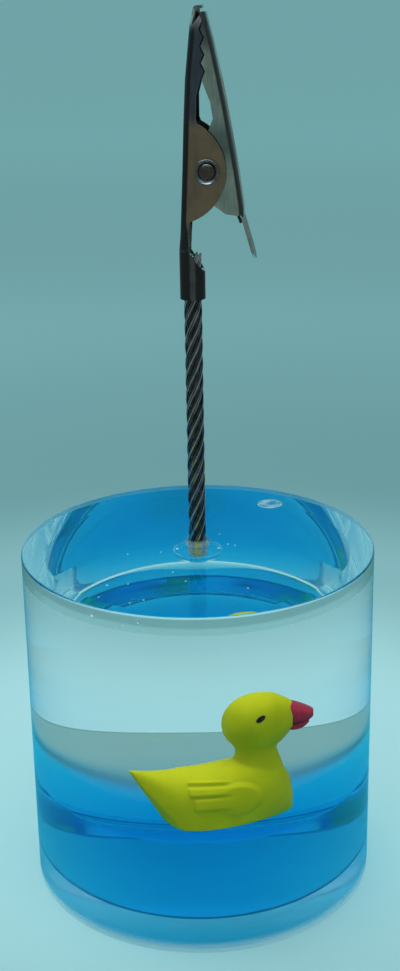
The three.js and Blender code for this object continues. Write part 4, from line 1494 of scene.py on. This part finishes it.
# how far the wing stands out of the hull at a point of its side view
def wingRelief(s, at):
    if at.z > s["wingWithin"][0] or abs(at.y) < s["wingWithin"][1]:
        return 0
    midU, midZ, wide, tall = s["wingBelly"]
    reach = hypot((at.x - midU) / wide, (at.z - midZ) / tall)
    belly = rampUp((1 - reach) * tall, 0, s["bellyStep"])
    feather = 0
    for rear, high, low in s["wing"]:
        half = (high - low) / 2
        apart = abs(at.z - (high + low) / 2)
        r = min(s["wingTip"], half)
        back, edge = rear + r - at.x, apart - half + r
        inside = r - hypot(back, edge) if back > 0 and edge > 0 else min(r - back, r - edge)
        slope = s["wingSlope"] + (1 - s["wingSlope"]) * (high - at.z) / (high - low)
        feather = max(feather, rampUp(inside, 0, s["wingStep"]) * slope)
    share = rampUp(at.x, *s["wingShift"])
    return (feather * (1 - share) + belly * share) * s["wingProud"]


billSet = {
    "upper": [[10.0, 15.2, 19.0, 2.35], [10.6, 15.15, 18.85, 2.3], [11.8, 15.05, 18.2, 2.1],
              [12.9, 15.1, 17.5, 1.7], [13.6, 15.35, 17.0, 1.2], [13.9, 15.6, 16.7, 0.7]],
    "lower": [[10.0, 14.15, 15.2, 1.8], [10.8, 13.95, 15.2, 1.85], [11.8, 13.95, 15.2, 1.65],
              [12.7, 14.3, 15.3, 1.25], [13.2, 14.7, 15.35, 0.8]],
    "grid": (40, 20),
    "square": 0.75,
    "rimRound": 0.12,
    "rimFrom": 50,  # degrees between faces
}


def makeBill(s):
    halves = []
    for name in ("upper", "lower"):
        half = ovalTube("bill_" + name, s[name], s["grid"], s["square"], lambda t: sin(pi / 2 * t))
        modify(half, "BEVEL", width=s["rimRound"] * mm, segments=2, limit_method="ANGLE",
               angle_limit=radians(s["rimFrom"]))
        smooth(half, s["rimFrom"])
        halves.append(half)
    bill = joinPieces(*halves)
    bill.name = "duckBill"
    return bill


eyeSet = {"at": (5.3, 18.1), "from": 9, "long": 0.8, "tall": 0.42, "tilt": 30, "proud": 0.05}


# a painted oval, laid on the head from the side
def makeEye(s, body, side):
    clearSelection()
    bpy.ops.mesh.primitive_circle_add(vertices=32, radius=1, fill_type="TRIFAN", rotation=(pi / 2, 0, 0))
    eye = toOrigin(bpy.context.object)
    openMesh(eye)
    bpy.ops.mesh.subdivide(number_cuts=3)
    bpy.ops.object.mode_set(mode="OBJECT")
    eye.data.transform(Matrix.Translation((s["at"][0] * mm, side * s["from"] * mm, s["at"][1] * mm))
                       @ Matrix.Rotation(-radians(s["tilt"]), 4, "Y")
                       @ Matrix.Diagonal((s["long"] * mm, 1, s["tall"] * mm, 1)))
    modify(eye, "SHRINKWRAP", target=body, wrap_method="PROJECT", use_project_y=True,
           use_negative_direction=True, use_positive_direction=True, offset=s["proud"] * mm)
    modify(eye, "SOLIDIFY", thickness=2 * s["proud"] * mm, offset=0)
    tidyMesh(eye)
    smooth(eye, 60)
    return eye


duckBody = makeDuck(duckSet)
duckEyes = joinPieces(*(makeEye(eyeSet, duckBody, side) for side in (-1, 1)))
duckEyes.name = "duckEyes"
duckBill = makeBill(billSet)
toPond = (Matrix.Translation(Vector(duckSet["place"]) * mm)
          @ Matrix.Rotation(radians(duckSet["turn"]), 4, "Z"))
for made, finish, slotName, nodes in (
    (duckBody, "duck", "duck_plastic", ["duck_body"]),
    (duckBill, "bill", "beak_paint", ["duck_beak"]),
    (duckEyes, "eye", "beak_paint", []),
):
    made.data.transform(toPond)
    dress(made, [finish])
    place(made, "duck", slotName, *nodes)
print("duck made")
